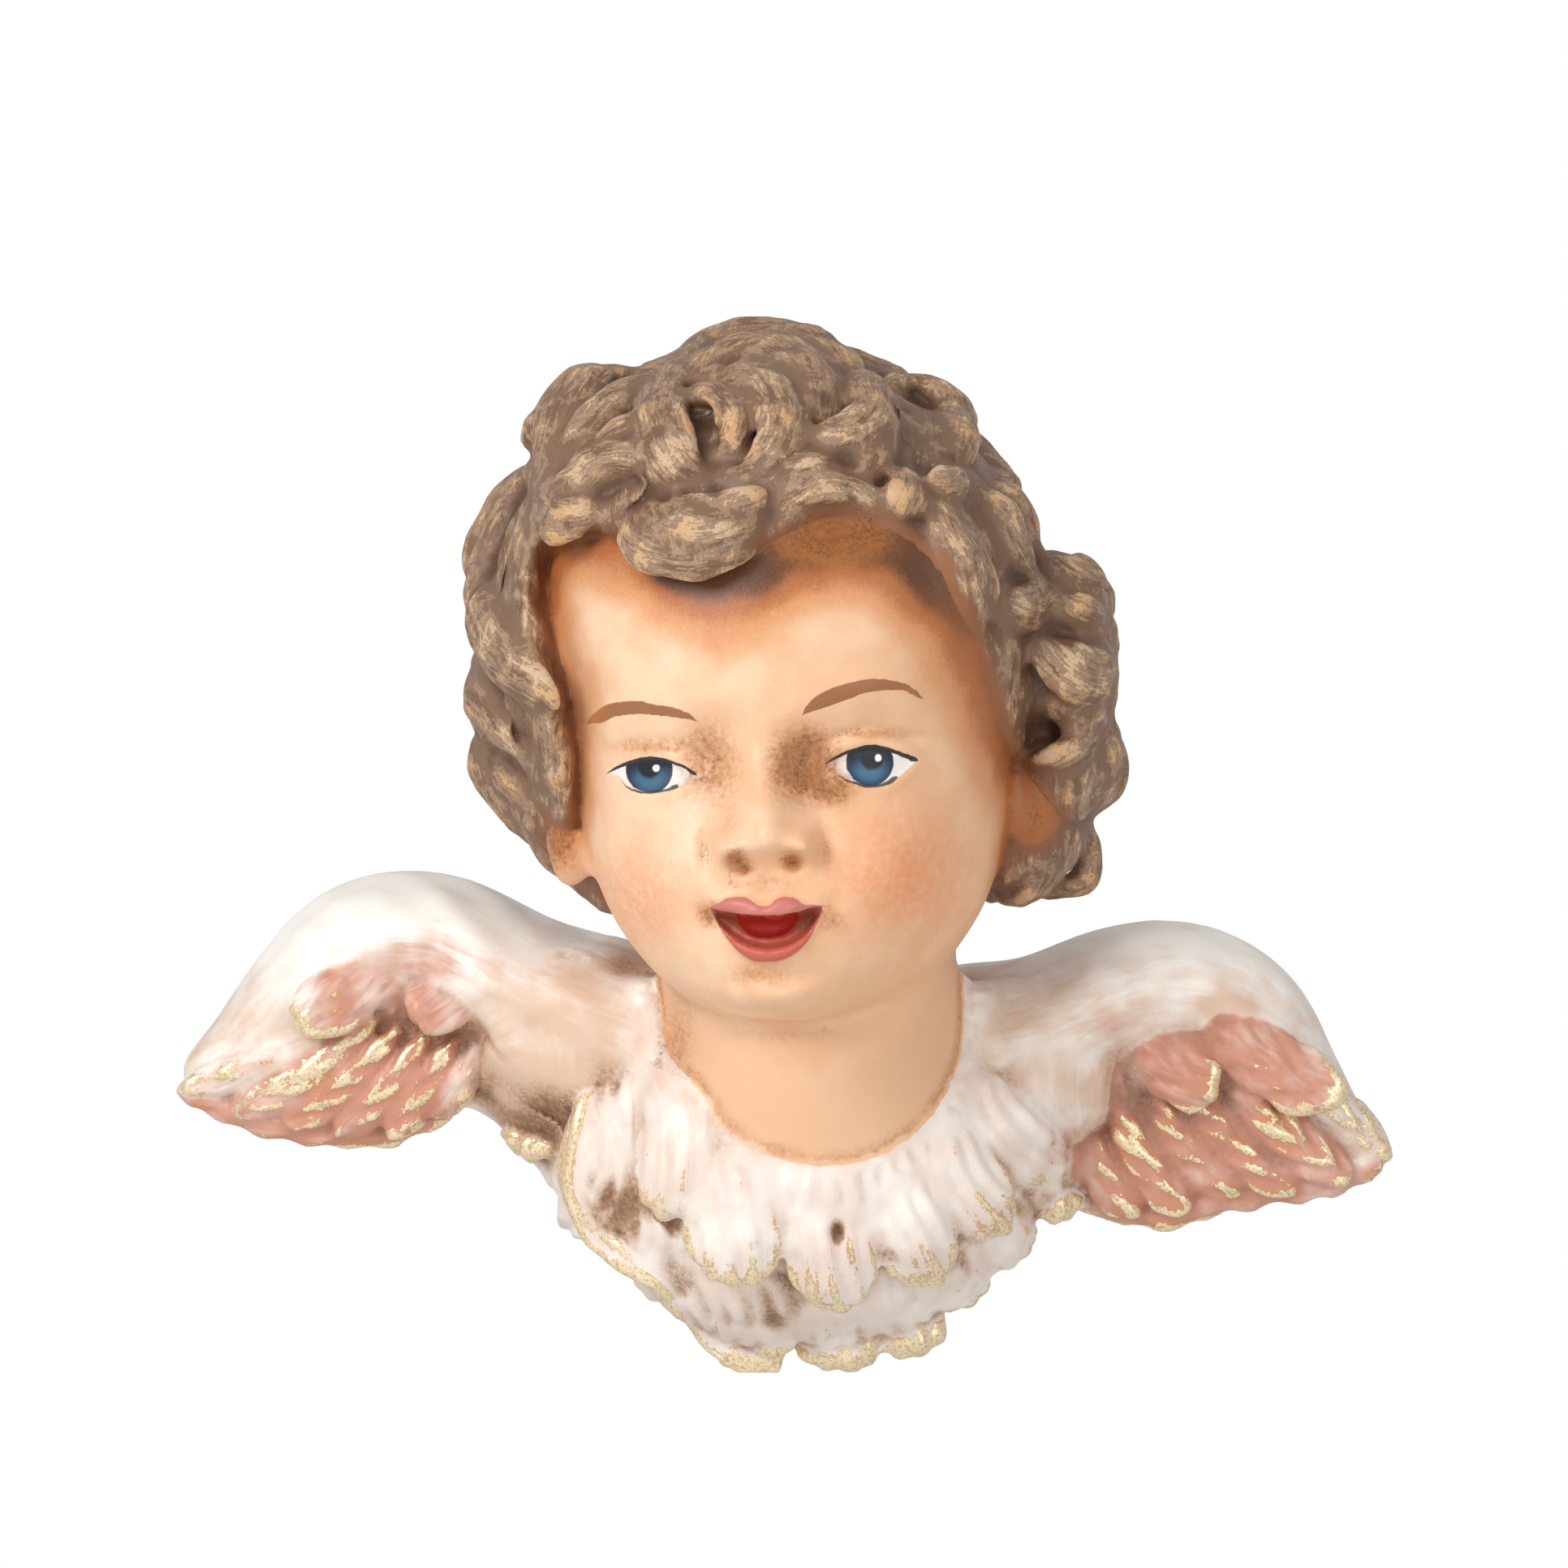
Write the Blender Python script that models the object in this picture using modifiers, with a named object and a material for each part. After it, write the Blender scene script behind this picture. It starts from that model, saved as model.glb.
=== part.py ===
"""Cherub wall plaque: a child's head between two wings over a collar of feathers.

The whole is one painted casting with a flat back that hangs against a wall. X runs to the right, Z up, and
the wall is the plane y = 0 behind the casting, so every depth in front of it is negative. The tables give
millimetres, and the finished mesh is scaled to metres.
"""

import math
from collections import namedtuple
from itertools import product

import bmesh
import bpy
import numpy as np
from mathutils import Matrix

MM = 0.001
NAME = "cherub_plaque"

# Driving sizes
VOXEL = 0.7
TRIANGLES = 11400
SOFT_ROUNDS = 7
SOFT_SHARE = 0.5
LAST_SHARE = 0.3
PLATE_DEPTH = 7.0
HANG_HOLE = {"x": 0.0, "z": 46.0, "radius": 4.0, "depth": 9.0}
WALL_BLOCK = 400.0

# Skull and face: rings about the head's own upright axis
Ring = namedtuple("Ring", "height half_width front back")
HEAD_CENTRE = np.array([1.9, -30.0, 19.0])
HEAD_TURN = math.radians(-7.5)
HEAD_LEAN = math.radians(-2.6)
HEAD_RINGS = (
    Ring(-32.0, 4.0, 14.0, 4.0),
    Ring(-30.5, 11.5, 23.0, 10.0),
    Ring(-27.0, 17.0, 26.6, 17.0),
    Ring(-22.0, 21.6, 27.6, 22.0),
    Ring(-16.0, 25.0, 28.0, 26.0),
    Ring(-9.0, 26.8, 28.2, 28.0),
    Ring(0.0, 27.6, 28.0, 29.0),
    Ring(9.0, 28.8, 30.0, 29.5),
    Ring(18.0, 30.6, 31.0, 29.5),
    Ring(27.0, 30.4, 29.2, 29.0),
    Ring(36.0, 27.0, 22.0, 27.0),
    Ring(45.0, 19.0, 13.0, 21.0),
    Ring(50.0, 9.0, 6.0, 10.0),
    Ring(51.5, 3.0, 2.0, 3.0),
)

# Face: its middle between the eyes, its tilt in the front view and where the eyes sit across it
FACE_X = -2.05
FACE_Z = 19.0
FACE_TILT = math.radians(2.5)
EYES = (-13.95, 13.9)
CHEEK_RISE = 2.4

# Hair: a cap under the locks, and the envelope that the locks lie on
Ball = namedtuple("Ball", "centre radii")
HAIR_CAP = Ball((-1.5, -22.0, 35.5), (36.5, 40.6, 37.0))
ENVELOPE = Ball((-1.5, -22.0, 36.0), (37.0, 41.0, 38.0))
HAIR_HEART = np.array([-1.5, -6.0, 30.0])
HAIRLINE_STEP = 12.0
FACE_WINDOW = (
    (-31.6, 42.0), (-31.0, 47.0), (-27.0, 49.2), (-21.0, 48.8), (-16.0, 45.6), (-10.5, 44.0), (-4.2, 45.4),
    (1.2, 48.4), (6.5, 50.4), (13.0, 48.6), (18.5, 44.2), (22.6, 39.0), (25.6, 33.0), (28.0, 25.0),
    (30.5, 18.0), (30.0, 9.0), (26.0, 0.0), (14.0, -12.0), (-2.0, -16.0), (-16.0, -12.0), (-25.0, 2.0),
    (-26.6, 13.0), (-27.4, 21.0), (-28.8, 29.0), (-30.4, 36.0),
)

# Each lock winds about a centre in the front view: radii and angles at its start and end, then half its width
# and how far it is lifted off the mass of the hair
Lock = namedtuple("Lock", "x z r0 r1 a0 a1 half lift")
LOCKS = (
    Lock(-3.0, 60.0, 14.5, 15.0, 136, 21, 3.9, 0.2),
    Lock(-3.4, 64.5, 8.6, 7.8, 155, -37, 3.4, 1.0),
    Lock(-6.2, 63.4, 6.7, 6.9, 116, -100, 2.6, 2.2),
    Lock(-9.6, 63.2, 3.9, 4.4, 132, -87, 1.9, 1.8),
    Lock(-4.3, 64.6, 11.4, 11.0, 144, 248, 3.1, 0.8),
    Lock(-12.7, 54.2, 18.6, 19.0, 114, 168, 4.2, 0.8),
    Lock(-14.2, 71.4, 2.2, 19.2, -146, -142, 2.3, 1.8),
    Lock(-12.0, 64.9, 2.9, 18.3, -163, -153, 1.9, 1.6),
    Lock(-19.8, 50.9, 7.7, 7.7, 52, 143, 2.0, 2.8),
    Lock(-28.5, 58.6, 3.7, 3.6, -49, -149, 2.0, 2.8),
    Lock(-25.9, 58.0, 6.3, 6.3, -148, -51, 2.0, 1.6),
    Lock(-26.3, 59.3, 9.7, 9.7, -126, -74, 1.8, 0.6),
    Lock(-10.9, 56.9, 11.0, 11.8, -148, -33, 2.3, 1.4),
    Lock(-9.6, 58.1, 9.1, 9.8, -142, -34, 2.4, 2.6),
    Lock(-7.8, 61.7, 9.7, 10.1, -125, -44, 1.8, 2.8),
    Lock(6.6, 45.7, 9.5, 9.2, 145, 32, 1.9, 1.0),
    Lock(-3.9, 54.1, 0.9, 15.2, 26, 16, 2.0, 0.8),
    Lock(5.6, 66.3, 5.7, 7.3, 51, -123, 2.7, 2.4),
    Lock(15.7, 61.6, 7.9, 8.3, 102, -33, 2.4, 1.8),
    Lock(4.8, 64.2, 9.2, 8.6, 9, -74, 1.8, 0.6),
    Lock(19.4, 62.4, 7.3, 7.3, -53, -106, 2.0, 1.0),
    Lock(8.1, 56.0, 8.4, 8.4, 6, -39, 2.3, 1.8),
    Lock(-1.5, 35.8, 26.7, 26.7, 44, 0, 2.3, 1.6),
    Lock(2.9, 36.9, 24.5, 24.4, 46, 2, 1.8, 0.8),
    Lock(35.9, 39.4, 20.2, 2.3, 122, 120, 1.9, 2.0),
    Lock(18.7, 44.3, 14.4, 14.7, 57, 1, 2.2, -0.4),
    Lock(31.5, 44.8, 4.7, 4.9, -138, -25, 2.2, 1.4),
    Lock(45.5, 38.8, 14.6, 1.8, 151, 133, 2.7, -0.8),
    Lock(43.5, 38.6, 9.1, 0.7, 166, 174, 1.8, 1.0),
    Lock(40.3, 37.9, 7.3, 6.4, -171, -45, 2.8, 1.8),
    Lock(39.0, 31.3, 5.0, 5.6, -157, -9, 1.9, 1.6),
    Lock(33.8, 30.1, 9.0, 9.8, -103, -17, 2.0, 1.4),
    Lock(38.4, 19.2, 5.2, 5.6, 68, -79, 2.4, -0.4),
    Lock(35.8, 7.8, 4.6, 5.4, 70, -136, 2.3, -1.0),
    Lock(29.5, 8.0, 4.9, 5.6, 28, -111, 2.2, -1.6),
    Lock(-18.4, 42.0, 21.0, 20.8, 128, 183, 3.1, -1.4),
    Lock(-21.8, 43.7, 16.7, 17.4, 165, 252, 2.8, 0.8),
    Lock(-43.4, 38.5, 4.4, 23.1, -72, -58, 2.3, 0.4),
    Lock(-26.4, 27.0, 13.1, 12.7, -161, -107, 1.8, 0.2),
    Lock(-22.0, 24.8, 17.3, 17.7, -177, -120, 2.4, -1.6),
    Lock(-35.0, 15.6, 2.6, 18.8, -54, -50, 2.2, -2.0),
)
WAVED = {"rows": 4, "across": 4, "crown": 7, "half": 3.4, "wave": 7.0, "turn": 26.0, "lift": -1.2}
HAIR_MASSES = (
    Ball((34.2, -22.0, 34.5), (9.8, 16.0, 12.5)),
    Ball((36.0, -18.0, 20.5), (7.0, 14.0, 9.0)),
    Ball((31.0, -16.0, 10.5), (8.5, 12.0, 7.5)),
    Ball((-31.5, -22.0, 33.0), (8.0, 15.0, 15.0)),
    Ball((-26.5, -20.0, 19.0), (9.5, 13.0, 11.0)),
    Ball((-19.0, -15.0, 6.0), (7.5, 10.0, 6.5)),
    Ball((16.0, -28.0, 57.5), (9.0, 15.0, 8.5)),
    Ball((-20.0, -27.0, 56.0), (12.5, 17.0, 11.0)),
)

# Neck, chest and ear lobes
CHEST = Ball((2.5, -4.0, -30.0), (33.0, 30.0, 24.0))
CHEST_HEART = np.array([2.5, 12.0, -22.0])
NECK = ((4.5, -15.0, -36.0), (4.5, -18.5, -18.0), (3.5, -21.5, -2.0), (2.0, -24.0, 10.0))
NECK_RADIUS = 20.0
SOFT_MASSES = (
    CHEST,
    Ball((2.0, -4.0, 2.0), (15.0, 12.0, 20.0)),
    Ball((-45.0, 0.0, -14.0), (25.0, 12.0, 10.0)),
    Ball((47.0, 0.0, -21.5), (25.0, 12.0, 10.0)),
    Ball((-27.0, -3.0, -17.0), (14.0, 19.5, 13.0)),
    Ball((32.0, -3.0, -20.0), (14.0, 18.5, 12.0)),
    Ball((32.0, -24.0, 15.0), (4.5, 6.0, 7.5)),
    Ball((-27.0, -27.0, 8.5), (3.0, 5.0, 5.5)),
)

# Wing arms: centre line (x, z), half width and how far the front stands from the wall
Station = namedtuple("Station", "x z half front")
LEFT_ARM = (
    Station(-8.0, -22.0, 11.0, 25.0), Station(-20.0, -15.0, 11.0, 24.0), Station(-33.0, -9.8, 9.8, 21.5),
    Station(-45.0, -3.6, 9.2, 19.0), Station(-55.0, -4.0, 8.6, 17.0), Station(-63.0, -10.5, 7.6, 14.0),
    Station(-70.0, -17.0, 5.6, 10.5), Station(-77.5, -21.8, 2.8, 7.0),
)
RIGHT_ARM = (
    Station(14.0, -22.0, 11.0, 25.0), Station(24.0, -17.5, 11.0, 24.0), Station(34.0, -15.0, 9.6, 21.5),
    Station(45.0, -10.5, 9.2, 19.0), Station(54.0, -9.6, 8.6, 17.0), Station(62.0, -13.5, 7.8, 14.5),
    Station(68.0, -21.0, 6.0, 11.0), Station(73.0, -27.0, 4.2, 9.0), Station(77.5, -31.5, 2.4, 6.5),
)

PLATE_OUTLINE = (
    (-78.5, -22.5), (-70.0, -12.5), (-62.0, -2.0), (-52.0, 3.0), (-41.0, 1.5), (-28.0, -5.0), (-12.0, -8.0),
    (14.0, -10.0), (28.0, -9.0), (42.0, -6.0), (54.0, -4.0), (64.0, -8.5), (71.0, -20.0), (78.5, -31.5),
    (70.0, -33.0), (58.0, -34.0), (48.0, -36.5), (38.0, -36.0), (30.0, -40.5), (22.0, -48.0), (17.5, -54.5),
    (8.0, -56.0), (-4.0, -56.5), (-12.0, -52.5), (-22.0, -44.5), (-32.0, -33.0), (-38.0, -26.0), (-46.0, -24.5),
    (-56.0, -25.5), (-68.0, -25.0),
)

# Wing feathers: root and tip (x, depth, z), half width, half thickness, sideways bow and roll of the blade
Feather = namedtuple("Feather", "root tip half thick bow roll")
LEFT_WING = (
    Feather((-50.0, 13.0, -9.0), (-80.0, 5.0, -23.0), 4.4, 3.0, 1.5, 14),
    Feather((-46.0, 13.0, -11.0), (-71.8, 6.0, -26.0), 4.4, 3.2, 1.2, 18),
    Feather((-42.0, 13.0, -12.5), (-65.4, 7.0, -27.8), 4.2, 3.2, 0.8, 20),
    Feather((-39.0, 13.0, -14.0), (-58.8, 7.5, -28.6), 4.2, 3.2, 0.4, 22),
    Feather((-37.0, 13.0, -15.0), (-52.2, 8.0, -28.6), 4.2, 3.2, 0.0, 22),
    Feather((-35.0, 13.0, -16.0), (-44.4, 8.5, -26.4), 4.2, 3.2, 0.0, 20),
    Feather((-43.0, 12.0, 0.0), (-60.5, 16.5, -14.0), 6.2, 2.4, 2.5, 8),
    Feather((-34.0, 12.5, -3.0), (-47.5, 16.5, -14.0), 6.4, 2.4, 2.0, 10),
    Feather((-24.0, 13.0, -8.0), (-37.0, 16.5, -17.0), 6.4, 2.4, 2.0, 10),
    Feather((-18.0, 14.0, -13.0), (-30.5, 13.0, -25.5), 6.0, 3.2, 1.5, 10),
)
RIGHT_WING = (
    Feather((66.0, 10.0, -13.0), (80.2, 4.5, -32.6), 3.8, 2.8, -1.5, -12),
    Feather((60.0, 12.0, -15.0), (73.2, 6.5, -34.6), 5.0, 3.2, -1.5, -16),
    Feather((54.0, 12.0, -17.0), (66.2, 7.0, -36.0), 4.6, 3.2, -1.0, -18),
    Feather((48.0, 12.5, -19.0), (59.0, 7.5, -36.2), 4.2, 3.2, -1.0, -20),
    Feather((42.5, 12.5, -21.0), (51.0, 7.5, -39.4), 4.8, 3.2, -1.0, -20),
    Feather((37.0, 12.0, -24.0), (43.5, 8.0, -38.0), 4.4, 3.2, -0.5, -18),
    Feather((52.0, 11.5, -7.5), (72.5, 13.5, -23.4), 6.2, 2.6, -4.0, -8),
    Feather((43.0, 12.0, -14.0), (58.5, 15.0, -22.0), 6.4, 2.6, -2.5, -8),
)

# Collar lappets: root and tip (x, z) with how far each stands off the chest, half width, half thickness and bow
Lappet = namedtuple("Lappet", "root tip off_root off_tip half thick bow")
COLLAR = (
    Lappet((-25.0, -15.0), (-35.0, -30.6), -1.0, 2.0, 6.0, 2.8, 2.0),
    Lappet((-22.0, -24.0), (-27.4, -40.0), -2.5, -0.6, 6.0, 2.6, 3.0),
    Lappet((-17.0, -32.0), (-16.6, -49.0), -2.5, -1.2, 6.4, 2.6, 3.0),
    Lappet((-10.5, -42.0), (-2.6, -59.0), -1.5, 3.5, 7.6, 3.0, 2.0),
    Lappet((6.0, -42.0), (9.6, -59.0), -1.5, 3.8, 6.6, 3.0, 0.0),
    Lappet((14.0, -41.0), (18.4, -57.4), -1.5, 3.8, 5.2, 3.0, -0.6),
    Lappet((19.0, -37.0), (25.0, -50.2), -1.5, 3.4, 5.2, 3.0, -0.8),
    Lappet((24.5, -33.0), (31.4, -44.6), -1.5, 3.0, 5.0, 3.0, -0.8),
    Lappet((30.0, -26.0), (38.4, -39.0), -1.5, 2.4, 5.4, 2.8, -1.0),
    Lappet((-17.6, -17.0), (-14.4, -38.4), -2.4, 4.0, 5.4, 3.0, 2.5),
    Lappet((-9.5, -26.4), (-5.8, -46.4), -2.8, 6.0, 6.6, 3.2, 1.5),
    Lappet((5.0, -29.6), (8.0, -49.8), -2.8, 6.6, 6.0, 3.2, -0.4),
    Lappet((13.4, -27.5), (20.2, -46.4), -2.8, 6.0, 5.4, 3.2, -1.0),
    Lappet((19.0, -23.0), (29.0, -40.0), -2.8, 5.0, 5.2, 3.0, -1.5),
    Lappet((22.5, -16.0), (37.0, -33.4), -2.8, 4.2, 5.2, 3.0, -2.5),
)
COLLAR_BAND = 5.6
ROLLED_RIM = (
    (-22.6, -15.0), (-24.0, -21.0), (-25.6, -27.4), (-26.4, -34.0), (-24.0, -40.6), (-19.6, -44.2),
    (-15.2, -47.0), (-11.8, -51.0), (-8.6, -55.2), (-4.6, -58.0), (0.4, -58.8),
)
RIM_HALF = 2.2
RIM_OFF = (3.0, 3.8)
NECKLINE = (
    (-16.5, -8.0), (-15.5, -15.0), (-11.0, -23.0), (-4.5, -29.0), (4.0, -31.8), (11.0, -31.2), (17.0, -28.0),
    (21.5, -22.5), (23.8, -15.5), (24.4, -8.0),
)

# Hollows that are pressed in from the front: x, z, radius and depth
Hollow = namedtuple("Hollow", "x z radius depth")
HOLLOWS = (
    Hollow(-9.4, 63.0, 2.2, 0.8), Hollow(18.6, 64.2, 3.2, 2.4), Hollow(6.2, 66.2, 1.3, 1.2),
    Hollow(-19.0, 54.6, 2.6, 1.8), Hollow(-35.0, 44.0, 2.2, 1.8), Hollow(-35.8, 27.6, 2.0, 1.0),
    Hollow(-34.0, 23.6, 1.8, 1.4), Hollow(27.4, 47.8, 2.2, 1.6), Hollow(36.6, 36.4, 1.8, 1.2),
    Hollow(36.2, 24.4, 1.8, 1.2), Hollow(32.0, 16.6, 2.4, 1.6), Hollow(8.0, 57.9, 2.0, 1.0),
    Hollow(-14.7, -40.5, 2.6, 1.5), Hollow(-30.5, -28.0, 3.6, 1.2),
    Hollow(7.5, -40.5, 1.4, 1.2), Hollow(-53.0, -14.5, 3.6, 1.6), Hollow(48.0, -22.0, 3.0, 1.4),
    Hollow(-2.0, -50.0, 4.0, 1.5), Hollow(63.0, -17.5, 2.6, 1.2), Hollow(-56.0, -9.0, 3.0, 1.2),
)


def head_axes():
    """Columns are the head's own right, back and up directions in the plaque's frame."""
    turn = Matrix.Rotation(HEAD_TURN, 3, "Z")
    lean = Matrix.Rotation(HEAD_LEAN, 3, "Y")
    return np.array(lean @ turn)


def smooth_curve(points, count, closed=False):
    """A Catmull-Rom curve through the points, sampled evenly in its parameter."""
    points = np.asarray(points, float)
    spans = len(points) if closed else len(points) - 1
    place = np.linspace(0, spans, count, endpoint=not closed)
    index = np.minimum(place.astype(int), spans - 1)
    t = (place - index)[:, None]

    def at(step):
        wanted = index + step
        if closed:
            return points[wanted % len(points)]
        inside = np.clip(wanted, 0, len(points) - 1)
        over = (wanted - inside)[:, None]
        ends = np.where(over < 0, points[0] - points[1], points[-1] - points[-2])
        return points[inside] + np.abs(over) * ends

    a, b, c, d = at(-1), at(0), at(1), at(2)
    return 0.5 * (2 * b + (c - a) * t + (2 * a - 5 * b + 4 * c - d) * t**2 + (3 * b - a - 3 * c + d) * t**3)


def unit(vectors):
    return vectors / np.maximum(np.linalg.norm(vectors, axis=-1, keepdims=True), 1e-9)


def shell_depth(ball, x, z):
    """Depth y of the ellipsoid's front at (x, z), falling back quickly outside its outline."""
    share = ((x - ball.centre[0]) / ball.radii[0]) ** 2 + ((z - ball.centre[2]) / ball.radii[2]) ** 2
    front = ball.centre[1] - ball.radii[1] * np.sqrt(np.maximum(1 - share, 0))
    return front + 30 * np.maximum(np.sqrt(share) - 1, 0)


def hair_depth(x, z):
    """Depth y of the frontmost hair mass at (x, z)."""
    return np.min([shell_depth(ball, x, z) for ball in (ENVELOPE, *HAIR_MASSES)], axis=0)


def hair_reach(toward):
    """Distance from the heart of the hair to its outer skin along unit directions."""
    reach = np.zeros(len(toward))
    for ball in (ENVELOPE, *HAIR_MASSES):
        start = (HAIR_HEART - ball.centre) / ball.radii
        run = toward / ball.radii
        a, b, c = (run**2).sum(1), run @ start, start @ start - 1
        inside = np.maximum(b**2 - a * c, 0)
        reach = np.maximum(reach, np.where(b**2 > a * c, (-b + np.sqrt(inside)) / a, 0))
    return reach


class Clay:
    """The lumps that are pressed together before they are fused into one skin."""

    def __init__(self):
        self.mesh = bmesh.new()

    def loft(self, rings):
        """A closed tube through rings of points, each ring as long as the next."""
        grid = [[self.mesh.verts.new(p) for p in ring] for ring in rings]
        count = len(grid[0])
        for lower, upper in zip(grid, grid[1:]):
            for i in range(count):
                j = (i + 1) % count
                self.mesh.faces.new((lower[i], lower[j], upper[j], upper[i]))
        self.mesh.faces.new(grid[0][::-1])
        self.mesh.faces.new(grid[-1])

    def ball(self, ball, steps=24):
        """An ellipsoid."""
        matrix = Matrix.Translation(ball.centre) @ Matrix.Diagonal((*ball.radii, 1.0))
        bmesh.ops.create_uvsphere(self.mesh, u_segments=2 * steps, v_segments=steps, radius=1.0, matrix=matrix)

    def sweep(self, spine, half_widths, half_heights, ups, ridges=0, ridge=0.0, sides=20):
        """A tube with an oval section, whose upper side carries the ridges."""
        along = unit(np.gradient(spine, axis=0))
        side = unit(np.cross(along, ups))
        over = np.cross(side, along)
        angle = np.linspace(0, 2 * math.pi, sides, endpoint=False)
        wave = 1 + ridge * np.cos(ridges * angle) * (np.sin(angle) > 0)
        rings = (
            spine[:, None]
            + side[:, None] * (half_widths[:, None] * np.cos(angle))[..., None]
            + over[:, None] * (half_heights[:, None] * np.sin(angle) * wave)[..., None]
        )
        self.loft(rings)


def add_head(clay):
    """The skull and face as rings, turned and leaned as the head sits."""
    axes = head_axes()
    table = smooth_curve(HEAD_RINGS, 60)
    angle = np.linspace(0, 2 * math.pi, 56, endpoint=False)
    rings = []
    for height, half_width, front, back in table:
        reach = np.where(np.sin(angle) < 0, front, back)
        level = np.full_like(angle, height)
        local = np.stack([half_width * np.cos(angle), reach * np.sin(angle), level], axis=1)
        rings.append(local @ axes.T + HEAD_CENTRE)
    clay.loft(rings)


def add_neck(clay):
    """A short round neck that leans from the collar up to the jaw."""
    spine = smooth_curve(NECK, 16)
    radius = np.linspace(NECK_RADIUS, NECK_RADIUS - 1.5, len(spine))
    clay.sweep(spine, radius, radius, np.tile([0.0, -1.0, 0.0], (len(spine), 1)), sides=40)


def wind_lock(clay, x, z, y, half, outward):
    """One lock along a path: thick in its middle, sunk at its ends and leaning away from its curl."""
    t = np.linspace(0, 1, len(x))
    swell = np.sin(math.pi * (0.03 + 0.95 * t)) ** np.where(t < 0.5, 0.6, 0.95)
    spine = np.stack([x, y + 4.0 * (1 - swell), z], axis=1)
    ups = unit(unit(spine - HAIR_HEART) + 0.3 * outward)
    clay.sweep(spine, 1.3 * half * swell, 0.8 * half * swell, ups)


def add_lock(clay, lock):
    """One lock of the front hair on the envelope."""
    t = np.linspace(0, 1, 30)
    angle = np.radians(lock.a0 + (lock.a1 - lock.a0) * t)
    radius = lock.r0 + (lock.r1 - lock.r0) * t
    outward = np.stack([np.cos(angle), np.zeros_like(angle), np.sin(angle)], axis=1)
    x, z = lock.x + radius * outward[:, 0], lock.z + radius * outward[:, 2]
    wind_lock(clay, x, z, hair_depth(x, z) - lock.lift, lock.half, outward)


def lay_lock(clay, toward, outward):
    """One lock along unit directions from the heart of the hair."""
    x, y, z = (HAIR_HEART + (hair_reach(toward) + WAVED["lift"])[:, None] * toward).T
    wind_lock(clay, x, z, y, WAVED["half"], np.tile(outward, (len(x), 1)))


def add_waved_locks(clay):
    """Rows of waved locks that run down the sides and over the crown to the wall."""
    t = np.linspace(0, 1, 30)
    for row, place, side in product(range(WAVED["rows"]), range(WAVED["across"]), (-1, 1)):
        wave = WAVED["wave"] * np.sin(2 * math.pi * t + 1.3 * row + 0.7 * place)
        turn = np.radians(78 + 15 * place + 5 * (row % 2) + wave + WAVED["turn"] * (t - 0.5))
        climb = np.radians(66 - 30 * row + 7 * (place % 2) - 42 * t)
        across = side * np.sin(turn) * np.cos(climb)
        toward = np.stack([across, -np.cos(turn) * np.cos(climb), np.sin(climb)], axis=1)
        lay_lock(clay, toward, (0.0, -1.0, 0.0))
    for row, place in product(range(2), range(WAVED["crown"])):
        wave = WAVED["wave"] * np.sin(2 * math.pi * t + 2.1 * row + 1.1 * place)
        lean = np.radians(13 * (place - (WAVED["crown"] - 1) / 2) + 6 * row + wave)
        over = np.radians(56 + 30 * row + 5 * (place % 2) + 42 * t)
        toward = np.stack([np.sin(lean), -np.cos(lean) * np.cos(over), np.cos(lean) * np.sin(over)], axis=1)
        lay_lock(clay, toward, (-1.0, 0.0, 0.0))


def lay_blade(clay, spine, half, thick, ups):
    """A thin oval blade along a spine, narrow at its root and round at its tip."""
    t = np.linspace(0, 1, len(spine))
    round_end = np.sqrt(np.clip(1 - ((t - 0.72) / 0.281) ** 2, 0.02, 1))
    swell = np.minimum(1.0, 0.25 + 1.6 * t) * round_end ** (t > 0.72)
    clay.sweep(spine, half * swell, thick * (0.4 + 0.6 * swell), ups, ridges=5, ridge=0.08)


def blade_path(root, tip, bow):
    """Points from root to tip, bowed sideways in the front view."""
    t = np.linspace(0, 1, 26)[:, None]
    run = unit(tip - root)
    aside = unit(np.cross(run, (0.0, 1.0, 0.0)))
    return root + (tip - root) * t + aside * bow * np.sin(math.pi * t)


def add_feather(clay, feather):
    """One straight feather of a wing, rolled so that it overlaps its neighbour."""
    root = np.array(feather.root) * (1, -1, 1)
    tip = np.array(feather.tip) * (1, -1, 1)
    spine = blade_path(root, tip, feather.bow)
    roll = np.array(Matrix.Rotation(math.radians(feather.roll), 3, (tip - root).tolist()))
    ups = np.tile(roll @ (0.0, -1.0, 0.0), (len(spine), 1))
    lay_blade(clay, spine, feather.half, feather.thick, ups)


def chest_depth(x, z):
    """Depth y of the slope that the collar lies on: the chest, continued to the foot of the plate."""
    return np.minimum(shell_depth(CHEST, x, z), -PLATE_DEPTH)


def add_lappet(clay, lappet):
    """One lappet of the collar, laid on the slope of the chest."""
    (root_x, root_z), (tip_x, tip_z) = lappet.root, lappet.tip
    spine = blade_path(np.array([root_x, 0.0, root_z]), np.array([tip_x, 0.0, tip_z]), lappet.bow)
    off = np.linspace(lappet.off_root, lappet.off_tip, len(spine))
    spine[:, 1] = chest_depth(spine[:, 0], spine[:, 2]) - off
    ups = unit(spine - CHEST_HEART)
    lay_blade(clay, spine, lappet.half, lappet.thick, ups)


def add_rim(clay):
    """The long rolled edge down the left of the collar."""
    x, z = smooth_curve(ROLLED_RIM, 70).T
    off = np.interp(np.linspace(0, 1, len(x)), (0, 0.4, 1), (0.0, *RIM_OFF))
    spine = np.stack([x, chest_depth(x, z) - off, z], axis=1)
    width = RIM_HALF * np.sin(math.pi * np.linspace(0.1, 0.9, len(x))) ** 0.5
    clay.sweep(spine, 1.15 * width, width, unit(spine - CHEST_HEART))


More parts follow.
